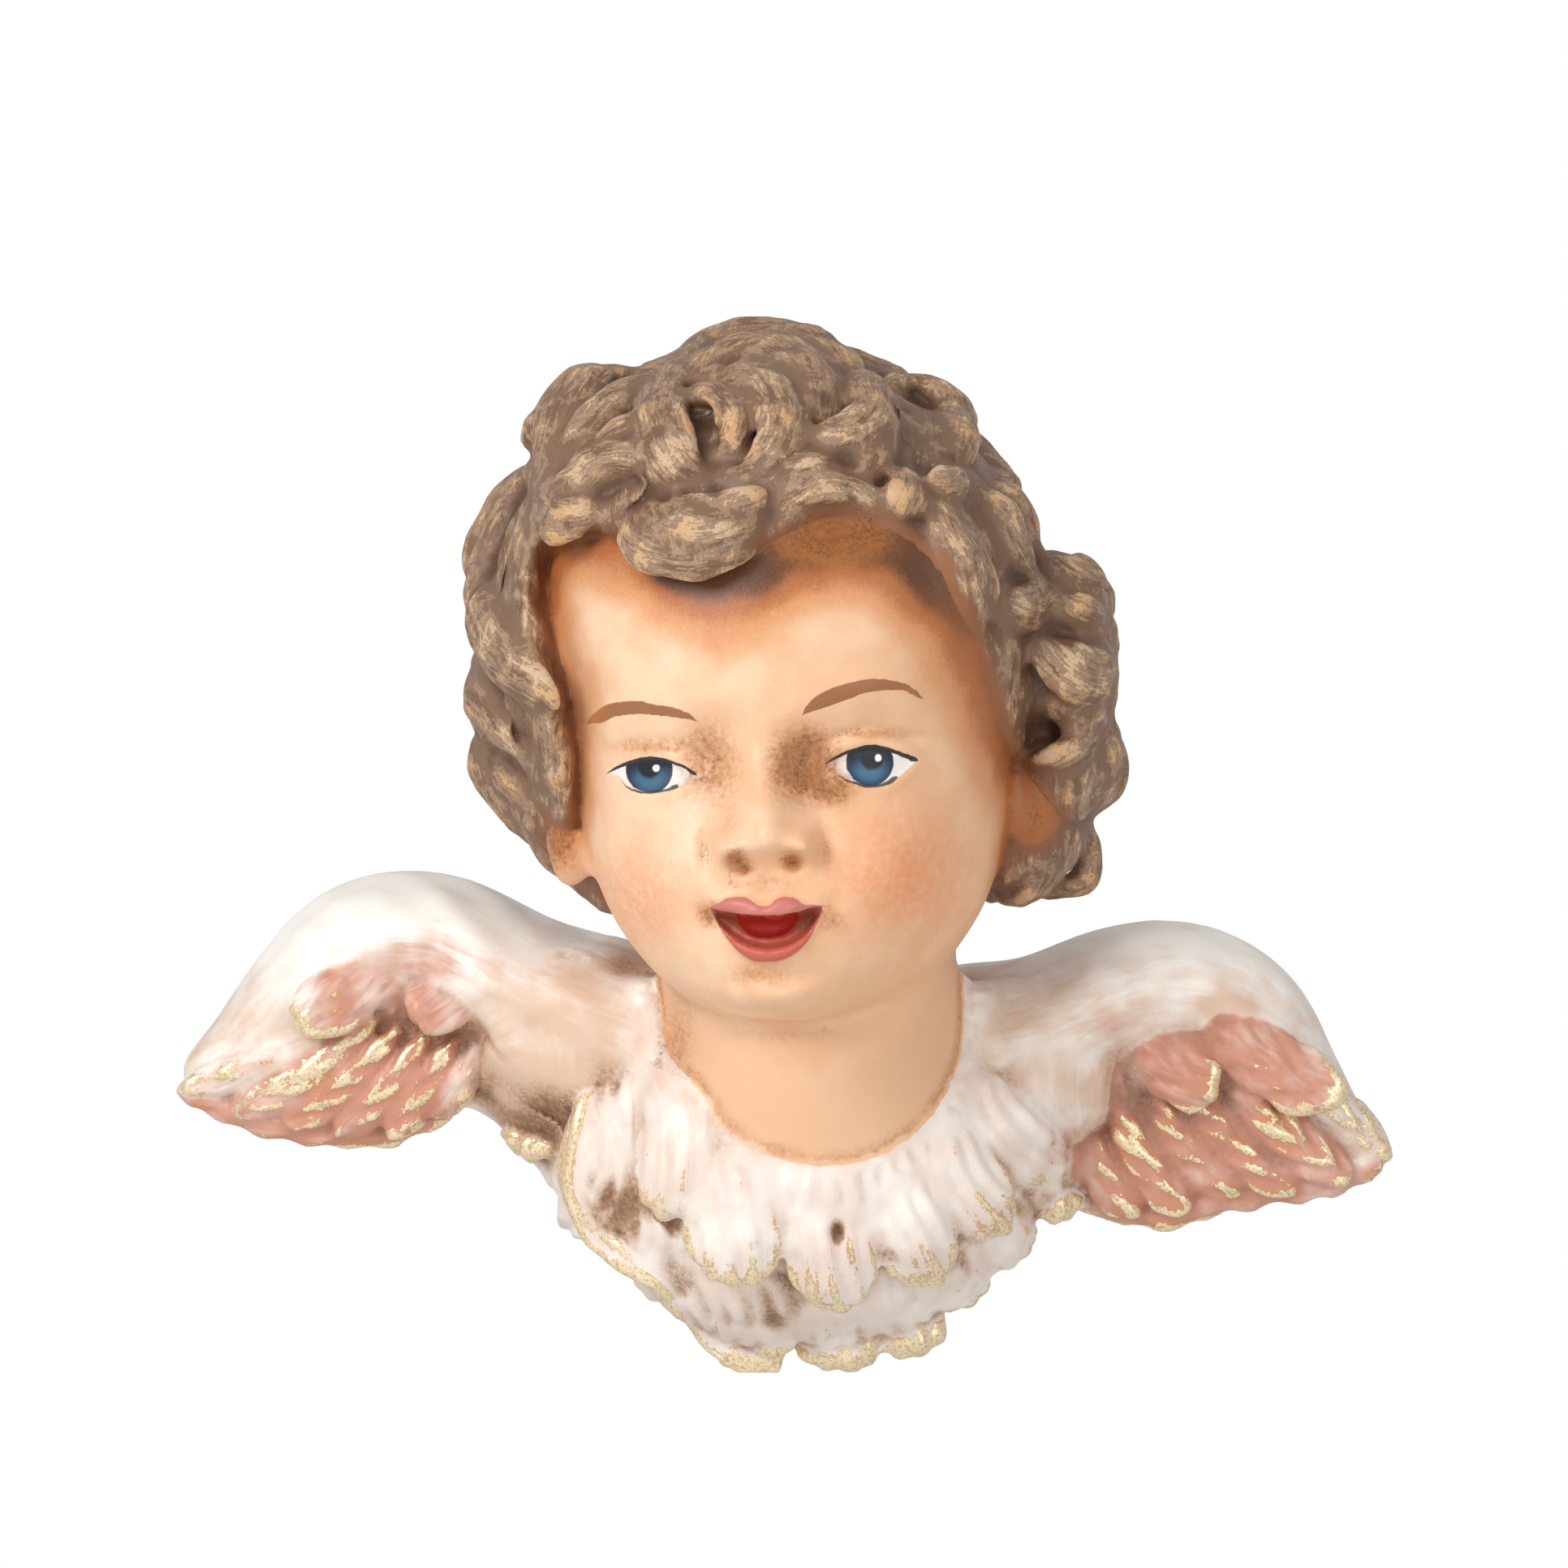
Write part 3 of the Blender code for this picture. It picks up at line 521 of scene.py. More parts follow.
    def traced(self, points: Array) -> Array:
        """What the clay is at each point.

        Args:
            points: Places near the clay's surface.

        Returns:
            One row of traits for each.
        """
        tree = BVHTree.FromPolygons(self.points, self.faces)
        corners = [Vector(p) for p in self.points]
        traits = np.concatenate(self.traits)
        index = np.zeros((len(points), 4), int)
        weight = np.zeros((len(points), 4))
        for row, point in enumerate(points.tolist()):
            near, _, face, _ = tree.find_nearest(point)
            ring = self.faces[face]
            if len(ring) > 4:
                index[row], weight[row, 0] = ring[0], 1
                continue
            index[row] = ring
            weight[row] = poly_3d_calc([corners[c] for c in ring], near)
        return (traits[index] * weight[..., None]).sum(1)


def only(piece: bpy.types.Object) -> None:
    """Selects one object alone and makes it the active one.

    Args:
        piece: The object.
    """
    for other in bpy.context.selected_objects:
        other.select_set(False)
    piece.select_set(True)
    bpy.context.view_layer.objects.active = piece


def apply_modifier(piece: bpy.types.Object, name: str) -> None:
    """Applies one modifier for good."""
    only(piece)
    bpy.ops.object.modifier_apply(modifier=name)


def read_points(mesh: bpy.types.Mesh, normals: bool = False) -> Array:
    """Places or normals of a mesh's vertices.

    Args:
        mesh: The mesh.
        normals: Whether the normals are wanted.

    Returns:
        One row for each vertex.
    """
    values = np.empty(len(mesh.vertices) * 3, np.float32)
    source, name = (mesh.vertex_normals, "vector") if normals else (mesh.vertices, "co")
    source.foreach_get(name, values)
    return values.reshape(-1, 3).astype(float)


def write_points(mesh: bpy.types.Mesh, points: Array) -> None:
    """Moves a mesh's vertices."""
    mesh.vertices.foreach_set("co", points.astype(np.float32).ravel())
    mesh.update()


def write_values(mesh: bpy.types.Mesh, name: str, values: Array) -> None:
    """Stores one number for each vertex under a name."""
    attribute = mesh.attributes.get(name) or mesh.attributes.new(name, "FLOAT", "POINT")
    attribute.data.foreach_set("value", values.astype(np.float32))


class Net:
    """The edges of a mesh, for smoothing values over its skin."""

    def __init__(self, mesh: bpy.types.Mesh) -> None:
        """Reads the edges.

        Args:
            mesh: The mesh.
        """
        edges = np.empty(len(mesh.edges) * 2, np.int32)
        mesh.edges.foreach_get("vertices", edges)
        a, b = edges.reshape(-1, 2).T
        self.ends = np.concatenate([a, b])
        self.others = np.concatenate([b, a])
        self.size = len(mesh.vertices)
        self.count = np.maximum(np.bincount(self.ends, minlength=self.size), 1)

    def relaxed(self, values: Array, rounds: int, share: float = 0.5) -> Array:
        """Values after moving each one towards its neighbours' mean.

        Args:
            values: One row for each vertex.
            rounds: How many times.
            share: How far each time.

        Returns:
            The smoothed values.
        """
        table = values.reshape(self.size, -1).T.copy()
        for _ in range(rounds):
            for row in table:
                mean = np.bincount(self.ends, row[self.others], self.size) / self.count
                row += share * (mean - row)
        return table.T.reshape(values.shape)


HEAD_RINGS = (
    Ring(-32, 4, 14, 4),
    Ring(-30.5, 11.5, 23, 10),
    Ring(-27, 17, 26.6, 17),
    Ring(-22, 21.6, 27.6, 22),
    Ring(-16, 25, 28, 26),
    Ring(-9, 26.8, 28.2, 28),
    Ring(0, 27.6, 28, 29),
    Ring(9, 28.8, 30, 29.5),
    Ring(18, 30.6, 31, 29.5),
    Ring(27, 30.4, 29.2, 29),
    Ring(36, 27, 22, 27),
    Ring(45, 19, 13, 21),
    Ring(50, 9, 6, 10),
    Ring(51.5, 3, 2, 3),
)


@dataclass
class Head:
    """The skull, neck and ear lobes."""

    centre: Point = (1.9, -30.0, 19.0)
    turn: float = -7.5
    lean: float = -2.6
    neck: tuple[Point, ...] = (
        (4.5, -15.0, -36.0), (4.5, -18.5, -18.0), (3.5, -21.5, -2.0), (2.0, -24.0, 10.0))
    neck_radius: float = 20.0
    ears: tuple[Ball, ...] = (
        Ball((32.0, -24.0, 15.0), (4.5, 6.0, 7.5)),
        Ball((-27.0, -27.0, 8.5), (3.0, 5.0, 5.5)),
    )

    def axes(self) -> Array:
        """How the head is turned.

        Returns:
            Its own right, back and up directions, as columns.
        """
        turn = Matrix.Rotation(math.radians(self.turn), 3, "Z")
        lean = Matrix.Rotation(math.radians(self.lean), 3, "Y")
        return np.array(lean @ turn)

    def press(self, clay: Clay) -> None:
        """Adds the skull, the neck and the ear lobes.

        Args:
            clay: What they are pressed onto.
        """
        skin = Mark(Trait.SKIN)
        table = smooth_curve([(r.height, r.half_width, r.front, r.back) for r in HEAD_RINGS], 60)
        angle = np.linspace(0, 2 * math.pi, 56, endpoint=False)
        height, half_width, front, back = (column[:, None] for column in table.T)
        reach = np.where(np.sin(angle) < 0, front, back)
        local = np.stack([half_width * np.cos(angle), reach * np.sin(angle), height + 0 * angle], axis=-1)
        clay.loft(local @ self.axes().T + self.centre, skin)
        spine = smooth_curve(self.neck, 16)
        radius = np.linspace(self.neck_radius, self.neck_radius - 1.5, len(spine))
        clay.sweep(spine, radius, radius, FRONT, skin, sides=40)
        for ear in self.ears:
            clay.ball(ear, skin)

    def facing(self, points: Array) -> Array:
        """How far each point is on the front of the head, from 0 to 1."""
        local = (points - self.centre) @ self.axes()
        return np.clip((-local[:, 1] - 6.0) / 10.0, 0, 1)


@dataclass
class Face:
    """The child's features, carved and painted in the face's own upright plane."""

    centre: Pair = (-2.05, 19.0)
    tilt: float = 2.5
    eye_places: Pair = (-13.95, 13.9)
    irises: tuple[Pair, ...] = ((-14.42, 0.58), (13.58, 0.36))
    pupils: tuple[Pair, ...] = ((-14.40, 1.20), (13.87, 1.05))
    glints: tuple[Pair, ...] = ((-13.52, 0.81), (14.67, 0.87))
    left_brow: Patch = Patch((
        (-22.34, 6.97, 6.87), (-20.95, 8.33, 6.86), (-18.39, 9.37, 7.59), (-15.97, 9.42, 7.75),
        (-13.46, 8.89, 7.53), (-11.17, 8.43, 7.17), (-9.40, 7.67, 6.83), (-8.07, 6.66, 6.51)))
    right_brow: Patch = Patch((
        (5.29, 6.76, 6.66), (5.95, 7.89, 6.89), (7.94, 9.38, 7.44), (11.29, 10.44, 8.45),
        (14.58, 10.85, 9.30), (17.20, 10.45, 9.34), (19.27, 9.62, 8.73), (20.59, 8.35, 7.99)))
    left_eye: Patch = Patch((
        (-19.68, 0.65, 0.44), (-18.52, 1.34, 0.08), (-17.06, 1.80, -1.24), (-14.76, 2.17, -2.18),
        (-13.13, 1.99, -2.31), (-11.51, 1.50, -1.91), (-9.83, 0.80, -1.25), (-8.36, -0.16, -0.37)))
    right_eye: Patch = Patch((
        (8.17, 0.59, 0.49), (9.42, 1.38, -0.82), (11.51, 2.07, -2.07), (13.50, 2.41, -2.63),
        (15.08, 2.23, -2.59), (16.76, 1.69, -1.88), (18.35, 1.04, -0.69), (19.63, 0.62, 0.41)))
    left_lash: Patch = Patch((
        (-19.89, 0.50, 0.39), (-18.50, 1.34, 0.92), (-17.01, 1.85, 1.38), (-14.36, 2.31, 1.89),
        (-13.00, 2.10, 1.73), (-11.44, 1.61, 1.24), (-9.79, 0.91, 0.49), (-8.67, 0.17, -0.35),
        (-8.37, -0.26, -0.37)))
    right_lash: Patch = Patch((
        (7.95, 0.45, 0.34), (9.36, 1.38, 0.96), (11.60, 2.18, 1.76), (13.61, 2.56, 2.14),
        (15.18, 2.34, 1.87), (16.83, 1.79, 1.27), (18.38, 1.15, 0.57), (19.42, 0.79, 0.21),
        (19.78, 0.51, 0.40)))
    left_under: Patch = Patch((
        (-18.15, -0.57, -0.62), (-16.84, -1.62, -1.89), (-14.55, -2.09, -2.43), (-12.22, -1.83, -2.17),
        (-11.05, -1.40, -1.93), (-10.79, -1.57, -1.68)))
    right_under: Patch = Patch((
        (9.46, -1.09, -1.20), (11.42, -1.97, -2.28), (13.71, -2.49, -2.85), (15.66, -2.10, -2.62),
        (16.79, -1.57, -1.99), (17.01, -1.63, -1.74)))
    upper_lip: Patch = Patch((
        (-7.42, -17.01, -17.12), (-6.15, -16.49, -17.49), (-4.15, -15.90, -17.94), (-2.38, -16.29, -18.18),
        (-0.56, -17.21, -18.36), (0.98, -16.38, -18.38), (2.14, -16.17, -18.27), (4.65, -17.22, -17.75),
        (6.33, -17.40, -17.56), (7.59, -17.56, -17.63)))
    mouth: Patch = Patch((
        (-7.32, -17.12, -17.33), (-6.32, -17.43, -19.58), (-4.49, -17.88, -21.76), (-2.52, -18.13, -22.69),
        (-0.69, -18.30, -22.98), (1.15, -18.34, -22.95), (3.06, -18.16, -22.51), (4.56, -17.80, -21.53),
        (5.86, -17.55, -19.90), (6.74, -17.53, -18.26)))
    lower_lip: Patch = Patch((
        (-6.37, -19.58, -19.74), (-4.57, -20.92, -22.29), (-3.14, -21.72, -23.61), (-1.49, -22.42, -24.26),
        (0.19, -22.65, -24.33), (2.31, -22.27, -23.79), (4.47, -21.11, -22.16), (6.03, -19.28, -19.75),
        (6.94, -17.95, -18.27)))
    tongue: Patch = Patch((
        (-4.20, -18.05, -18.20), (-3.71, -18.02, -19.59), (-2.37, -18.02, -20.91), (-0.70, -18.15, -21.30),
        (1.20, -18.13, -21.12), (2.79, -18.09, -20.29), (3.55, -18.23, -19.17), (3.75, -18.76, -18.87)))

    def local(self, points: Array) -> tuple[Array, Array]:
        """Places across and up the face.

        Args:
            points: Places in millimetres.

        Returns:
            Distances across and up from between the eyes.
        """
        turn = math.radians(self.tilt)
        x, z = points[:, 0] - self.centre[0], points[:, 2] - self.centre[1]
        return x * math.cos(turn) + z * math.sin(turn), z * math.cos(turn) - x * math.sin(turn)

    def eye_relief(self, u: Array, w: Array) -> Array:
        """How far the sockets, eyeballs and lids stand out.

        Args:
            u: Places across the face.
            w: Places up the face.

        Returns:
            Heights above the plain face.
        """
        high = np.zeros_like(u)
        for place, opening in zip(self.eye_places, (self.left_eye, self.right_eye)):
            inner = place - math.copysign(7.0, place)
            high -= 2.0 * bump(u, w, place - math.copysign(1.0, place), 1.4, 8.0, 5.0)
            high -= 1.4 * bump(u, w, inner, 1.6, 3.0, 3.6)
            high += 0.9 * bump(u, w, place, 9.4, 8.5, 3.0)
            high += 1.9 * bump(u, w, place, 0.0, 6.2, 3.9)
            top, bottom = opening.edges(u)
            near = np.exp(-((np.maximum(np.abs(u - place) - 4.9, 0) / 1.5) ** 2))
            high -= 0.35 * rise(opening.inside(u, w), -0.15, 0.4) * near
            high += 0.50 * near * np.exp(-(((w - top - 0.8) / 0.8) ** 2))
            high -= 0.50 * near * np.exp(-(((w - top - 2.4) / 0.7) ** 2))
            high += 0.30 * near * np.exp(-(((w - bottom + 0.8) / 0.7) ** 2))
        return high

    def nose_relief(self, u: Array, w: Array) -> Array:
        """How far the nose stands out.

        Args:
            u: Places across the face.
            w: Places up the face.

        Returns:
            Heights above the plain face.
        """
        m = np.abs(u)
        tall = np.where(w > -9.0, 6.2, 2.3)
        high = 5.6 * np.exp(-((u / 4.2) ** 2) - ((w + 9.0) / tall) ** 2)
        high += 1.4 * bump(u, w, 0.0, -1.0, 3.0, 5.0)
        high += 3.6 * bump(m, w, 4.9, -10.0, 1.9, 2.1)
        high -= 1.3 * bump(m, w, 7.4, -9.8, 1.1, 2.6)
        high -= 2.6 * bump(m, w, 3.5, -11.9, 1.3, 0.9)
        return high - 0.5 * bump(u, w, 0.0, -14.2, 1.1, 1.4)

    def mouth_relief(self, u: Array, w: Array) -> Array:
        """How far the lips, tongue and chin stand out.

        Args:
            u: Places across the face.
            w: Places up the face.

        Returns:
            Heights above the plain face.
        """
        m = np.abs(u)
        high = 1.5 * bump(u, w, 0.0, -19.5, 8.5, 6.5)
        high += 1.3 * self.upper_lip.dome(u, w, 0.25) + 1.7 * self.lower_lip.dome(u, w, 0.3)
        within = self.mouth.inside(u, w)
        high -= 2.2 * rise(within, 0.0, 1.3)
        high += 1.1 * self.tongue.dome(u, w, 0.1)
        high -= 0.7 * bump(m, w, 8.2, -17.6, 1.5, 1.7)
        high -= 1.1 * bump(u, w, 0.0, -26.3, 5.5, 1.5)
        return high + 1.8 * bump(u, w, 0.0, -29.0, 6.5, 2.8)

    def carved(self, points: Array, front: Array) -> Array:
        """Points moved out by the relief of the features.

        Args:
            points: The skin in millimetres.
            front: How much of the relief each takes.

        Returns:
            The moved points.
        """
        u, w = self.local(points)
        high = self.eye_relief(u, w) + self.nose_relief(u, w) + self.mouth_relief(u, w)
        high += 2.4 * bump(np.abs(u), w, 15.0, -12.5, 8.0, 7.5)
        moved = points.copy()
        moved[:, 1] -= high * front
        return moved


FACE_WINDOW = (
    (-31.6, 42), (-31, 47), (-27, 49.2), (-21, 48.8), (-16, 45.6), (-10.5, 44), (-4.2, 45.4),
    (1.2, 48.4), (6.5, 50.4), (13, 48.6), (18.5, 44.2), (22.6, 39), (25.6, 33), (28, 25),
    (30.5, 18), (30, 9), (26, 0), (14, -12), (-2, -16), (-16, -12), (-25, 2),
    (-26.6, 13), (-27.4, 21), (-28.8, 29), (-30.4, 36),
)
LOCKS = {
    "crown_front": Lock(2.9, 0.2, (
        (-13.1, 69.8), (-9.2, 73.6), (-3.1, 74.8), (3.1, 73.4), (8.4, 69.8), (11.1, 65.4))),
    "crown_inner": Lock(2.5, 1, (
        (-11.5, 68.5), (-7.3, 72), (-1.6, 72.5), (3.4, 69.3), (4.8, 64.6), (2.6, 59.8))),
    "curl_outer": Lock(1.9, 2.2, (
        (-9.2, 69.5), (-4.7, 70), (-1.1, 68), (0.6, 64), (-0.5, 59.8), (-3.7, 56.9), (-7.3, 56.5))),
    "curl_inner": Lock(1.4, 1.8, (
        (-12, 65.6), (-9.9, 67.4), (-7, 66.4), (-5.5, 63.2), (-6.3, 60.4), (-9.2, 58.6))),
    "curl_left": Lock(2.3, 0.8, ((-13.9, 71.4), (-15.5, 66.1), (-14.9, 60.9), (-12.4, 56.7), (-8.4, 54.4))),
    "bulge_outer": Lock(3.1, 0.8, ((-20.2, 71.2), (-25, 68.5), (-29, 63.5), (-31.5, 58.3))),
    "bulge_inner": Lock(1.7, 1.8, ((-16, 70.1), (-20.5, 67), (-25.2, 63), (-29.4, 59.6))),
    "bulge_edge": Lock(1.4, 1.6, ((-14.7, 64), (-18.9, 62.5), (-23.6, 59.8), (-28.3, 56.7))),
    "wave_ridge": Lock(1.5, 2.8, (
        (-14.9, 57.2), (-18.9, 58.6), (-22.9, 58), (-26, 55.6), (-29.4, 55), (-31.7, 56.7))),
    "wave_lower": Lock(1.5, 1.6, ((-31.3, 54.6), (-29, 52.5), (-25.6, 51.7), (-21.8, 52.9))),
    "wave_foot": Lock(1.3, 0.6, ((-32, 51.4), (-28.3, 49.8), (-23.6, 49.8))),
    "fringe_low": Lock(1.7, 1.4, (
        (-19.7, 51.4), (-18.4, 48.3), (-14.5, 46), (-9.7, 45.6), (-4.7, 47), (-0.8, 50.2))),
    "fringe_mid": Lock(1.8, 2.6, ((-16.8, 52.7), (-14.1, 49.8), (-9.7, 48.7), (-4.8, 50), (-1.3, 52.3))),
    "fringe_top": Lock(1.3, 2.8, ((-13.4, 53.8), (-9.4, 51.9), (-4.4, 52.5), (-0.4, 54.6))),
    "arch_low": Lock(1.4, 1, (
        (-1.3, 51.4), (1.1, 53.3), (4.6, 54.8), (8.6, 55), (12.2, 53.1), (14.5, 50.6))),
    "arch_top": Lock(1.5, 0.8, ((-3.1, 54.4), (1.3, 56.5), (6.1, 57.3), (10.7, 58.6))),
    "loop_right": Lock(2, 2.4, (
        (8.8, 70.9), (11.5, 68), (12.2, 64.3), (9.7, 61.7), (5.5, 60.3), (1.9, 58))),
    "lobe_rim": Lock(1.8, 1.8, ((13.9, 69.5), (18.7, 69.1), (22.3, 66.4), (23.7, 61.4), (23.1, 56.9))),
    "lobe_left": Lock(1.3, 0.6, ((14.3, 65.6), (13.2, 61.1), (10.7, 57.3), (7.1, 55.9))),
    "lobe_low": Lock(1.5, 1, ((23.9, 56.5), (21, 55.2), (17.4, 55.2))),
    "drop_front": Lock(1.7, 1.8, ((16.6, 56.9), (16.2, 53.5), (14.7, 50.6))),
    "side_front": Lock(1.7, 1.6, ((17.8, 54.4), (21, 50.4), (23.5, 45.1), (25, 40.1), (25.2, 35.9))),
    "side_back": Lock(1.3, 0.8, ((20.2, 54.6), (23.9, 49.4), (26.5, 43.5), (27.3, 37.6))),
    "ridge_side": Lock(1.4, 2, ((25.2, 56.5), (28.6, 51.9), (31.7, 46.2), (34.9, 41.4))),
    "ridge_outer": Lock(1.6, -0.4, ((26.5, 56.5), (30.2, 53.5), (32.3, 49.4), (33.8, 44.7))),
    "knot_side": Lock(1.6, 1.4, ((27.9, 41.5), (31.1, 39.9), (34, 40.7), (36.1, 42.6))),
    "puff_top": Lock(2, -0.8, ((32.8, 46), (36.8, 44.7), (40.9, 43), (44.3, 40.1))),
    "puff_crease": Lock(1.3, 1, ((34.6, 40.7), (38.9, 39.3), (42.8, 38.6))),
    "puff_band": Lock(2.1, 1.8, ((32.5, 36.3), (36.5, 32.3), (40.9, 30.9), (43.6, 33.2))),
    "puff_low": Lock(1.4, 1.6, ((34.2, 29.4), (37.8, 26), (41.6, 27.1), (43.2, 29.6))),
    "puff_foot": Lock(1.5, 1.4, ((31.7, 21.4), (35.7, 20.8), (39.7, 22.9), (43.5, 26.9))),
    "back_right": Lock(1.8, -0.4, ((40.4, 24.1), (43.7, 21), (43, 16.2), (39.7, 13.4))),
    "nape_right": Lock(1.7, -1, ((37.4, 12.6), (40.5, 9.2), (40.3, 5.2), (36.5, 3.4), (31.7, 2.7))),
    "nape_inner": Lock(1.6, -1.6, ((33.8, 10.5), (34.6, 6.3), (31.7, 3.4), (27.5, 2.3))),
    "back_left": Lock(2.3, -1.4, ((-31.6, 58.6), (-36.2, 52.9), (-38.9, 46.2), (-39.1, 40.7))),
    "wrap_left": Lock(2.1, 0.8, (
        (-37.8, 48.1), (-38.9, 43), (-37.8, 37.3), (-34.2, 32.3), (-29.8, 28.8), (-28.1, 26.2))),
    "wave_left": Lock(1.7, 0.4, ((-39.4, 33.6), (-39.6, 29.4), (-37.2, 25.8), (-34, 22.5), (-31.9, 18.3))),
    "tuft_left": Lock(1.3, 0.2, ((-39.1, 22.6), (-36.5, 19.1), (-33.6, 16.2), (-30, 14.9))),
    "under_left": Lock(1.8, -1.6, ((-39.3, 24.1), (-38.2, 17.8), (-35.1, 13.7), (-31.3, 9.2))),
    "nape_left": Lock(1.6, -2, ((-33.4, 13.7), (-29.8, 8.4), (-25.6, 4.6), (-23.5, 0.8))),
}


@dataclass
class Hair:
    """The cap of hair, its masses, the locks of the front and the waved rows behind."""

    cap: Ball = Ball((-1.5, -22.0, 35.5), (36.5, 40.6, 37.0))
    envelope: Ball = Ball((-1.5, -22.0, 36.0), (37.0, 41.0, 38.0))
    heart: Point = (-1.5, -6.0, 30.0)
    masses: tuple[Ball, ...] = (
        Ball((34.2, -22.0, 34.5), (9.8, 16.0, 12.5)),
        Ball((36.0, -18.0, 20.5), (7.0, 14.0, 9.0)),
        Ball((31.0, -16.0, 10.5), (8.5, 12.0, 7.5)),
        Ball((-31.5, -22.0, 33.0), (8.0, 15.0, 15.0)),
        Ball((-26.5, -20.0, 19.0), (9.5, 13.0, 11.0)),
        Ball((-19.0, -15.0, 6.0), (7.5, 10.0, 6.5)),
        Ball((16.0, -28.0, 57.5), (9.0, 15.0, 8.5)),
        Ball((-20.0, -27.0, 56.0), (12.5, 17.0, 11.0)),
    )
    window_step: float = 12.0
    fullness: float = 1.35
    ridges: int = 4
    ridge: float = 0.08
    side_rows: int = 4
    side_locks: int = 4
    crown_locks: int = 7
    waved_half: float = 3.4
    waved_lift: float = -1.2
    wave: float = 7.0

    def depth(self, x: Array, z: Array) -> Array:
        """Depth y of the frontmost mass at (x, z)."""
        return np.min([shell_depth(ball, x, z) for ball in (self.envelope, *self.masses)], axis=0)

    def reach(self, toward: Array) -> Array:
        """Distance from the heart of the hair to its outer skin.

        Args:
            toward: Directions of length one.

        Returns:
            The distance along each.
        """
        reach = np.zeros(len(toward))
        for ball in (self.envelope, *self.masses):
            start = (np.array(self.heart) - ball.centre) / ball.radii
            run = toward / ball.radii
            a, b, c = (run**2).sum(1), run @ start, start @ start - 1
            inside = np.maximum(b**2 - a * c, 0)
            reach = np.maximum(reach, np.where(b**2 > a * c, (-b + np.sqrt(inside)) / a, 0))
        return reach

    def wind(self, clay: Clay, path: Array, half: float, outward: Array) -> None:
        """Adds one lock: thick in its middle, sunk at its ends and leaning away from its curl.

        Args:
            clay: What it is pressed onto.
            path: Points along its middle.
            half: Half its width.
            outward: The way that it leans, at each point or all along.
        """
        t = np.linspace(0, 1, len(path))
        swell = np.sin(math.pi * (0.03 + 0.95 * t)) ** np.where(t < 0.5, 0.6, 0.95)
        spine = path + (4.0 * (1 - swell))[:, None] * -FRONT
        ups = unit(unit(spine - self.heart) + 0.3 * outward)
        wide, high = 1.5 * half * swell, 0.78 * half * swell
        clay.sweep(spine, wide, high, ups, Mark(Trait.HAIR), self.ridges, self.ridge, sides=36)

    def lay_lock(self, clay: Clay, lock: Lock) -> None:
        """Adds one lock of the front.

        Args:
            clay: What it is pressed onto.
            lock: Its path and size.
        """
        x, z = smooth_curve(lock.path, 30).T
        run = unit(np.gradient(np.stack([x, 0 * x, z], axis=1), axis=0))
        turn = np.sign(np.cross(run[:-1], run[1:])[:, 1].sum())
        outward = -turn * np.cross(run, FRONT)
        path = np.stack([x, self.depth(x, z) - lock.lift, z], axis=1)
        self.wind(clay, path, self.fullness * lock.half, outward)

    def lay_waved(self, clay: Clay, toward: Array, outward: Point) -> None:
        """Adds one waved lock along directions from the heart of the hair."""
        path = np.array(self.heart) + (self.reach(toward) + self.waved_lift)[:, None] * toward
        self.wind(clay, path, self.waved_half, np.array(outward))

    def press_waved(self, clay: Clay) -> None:
        """Adds the waved rows down the sides and over the crown.

        Args:
            clay: What they are pressed onto.
        """
        t = np.linspace(0, 1, 30)
        for row, place, side in product(range(self.side_rows), range(self.side_locks), (-1, 1)):
            wave = self.wave * np.sin(2 * math.pi * t + 1.3 * row + 0.7 * place)
            turn = np.radians(78 + 15 * place + 5 * (row % 2) + wave + 26 * (t - 0.5))
            climb = np.radians(66 - 30 * row + 7 * (place % 2) - 42 * t)
            across = side * np.sin(turn) * np.cos(climb)
            toward = np.stack([across, -np.cos(turn) * np.cos(climb), np.sin(climb)], axis=1)
            self.lay_waved(clay, toward, (0.0, -1.0, 0.0))
        for row, place in product(range(2), range(self.crown_locks)):
            wave = self.wave * np.sin(2 * math.pi * t + 2.1 * row + 1.1 * place)
            lean = np.radians(13 * (place - (self.crown_locks - 1) / 2) + 6 * row + wave)
            over = np.radians(56 + 30 * row + 5 * (place % 2) + 42 * t)
            climb = np.cos(lean) * np.sin(over)
            toward = np.stack([np.sin(lean), -np.cos(lean) * np.cos(over), climb], axis=1)
            self.lay_waved(clay, toward, (-1.0, 0.0, 0.0))

    def press(self, clay: Clay) -> None:
        """Adds the whole head of hair.

        Args:
            clay: What it is pressed onto.
        """
        hair = Mark(Trait.HAIR)
        for mass in self.masses:
            clay.ball(mass, hair)
        first = len(clay.points)
        clay.ball(self.cap, hair, steps=120)
        cap = np.array(clay.points[first:])
        inside = inside_distance(smooth_curve(FACE_WINDOW, 90, closed=True), cap[:, 0], cap[:, 2])
        cap[:, 1] += self.window_step * rise(inside, -1.6, 2.6) * (cap[:, 1] < self.cap.centre[1])
        clay.points[first:] = cap.tolist()
        self.press_waved(clay)
        for lock in LOCKS.values():
            self.lay_lock(clay, lock)


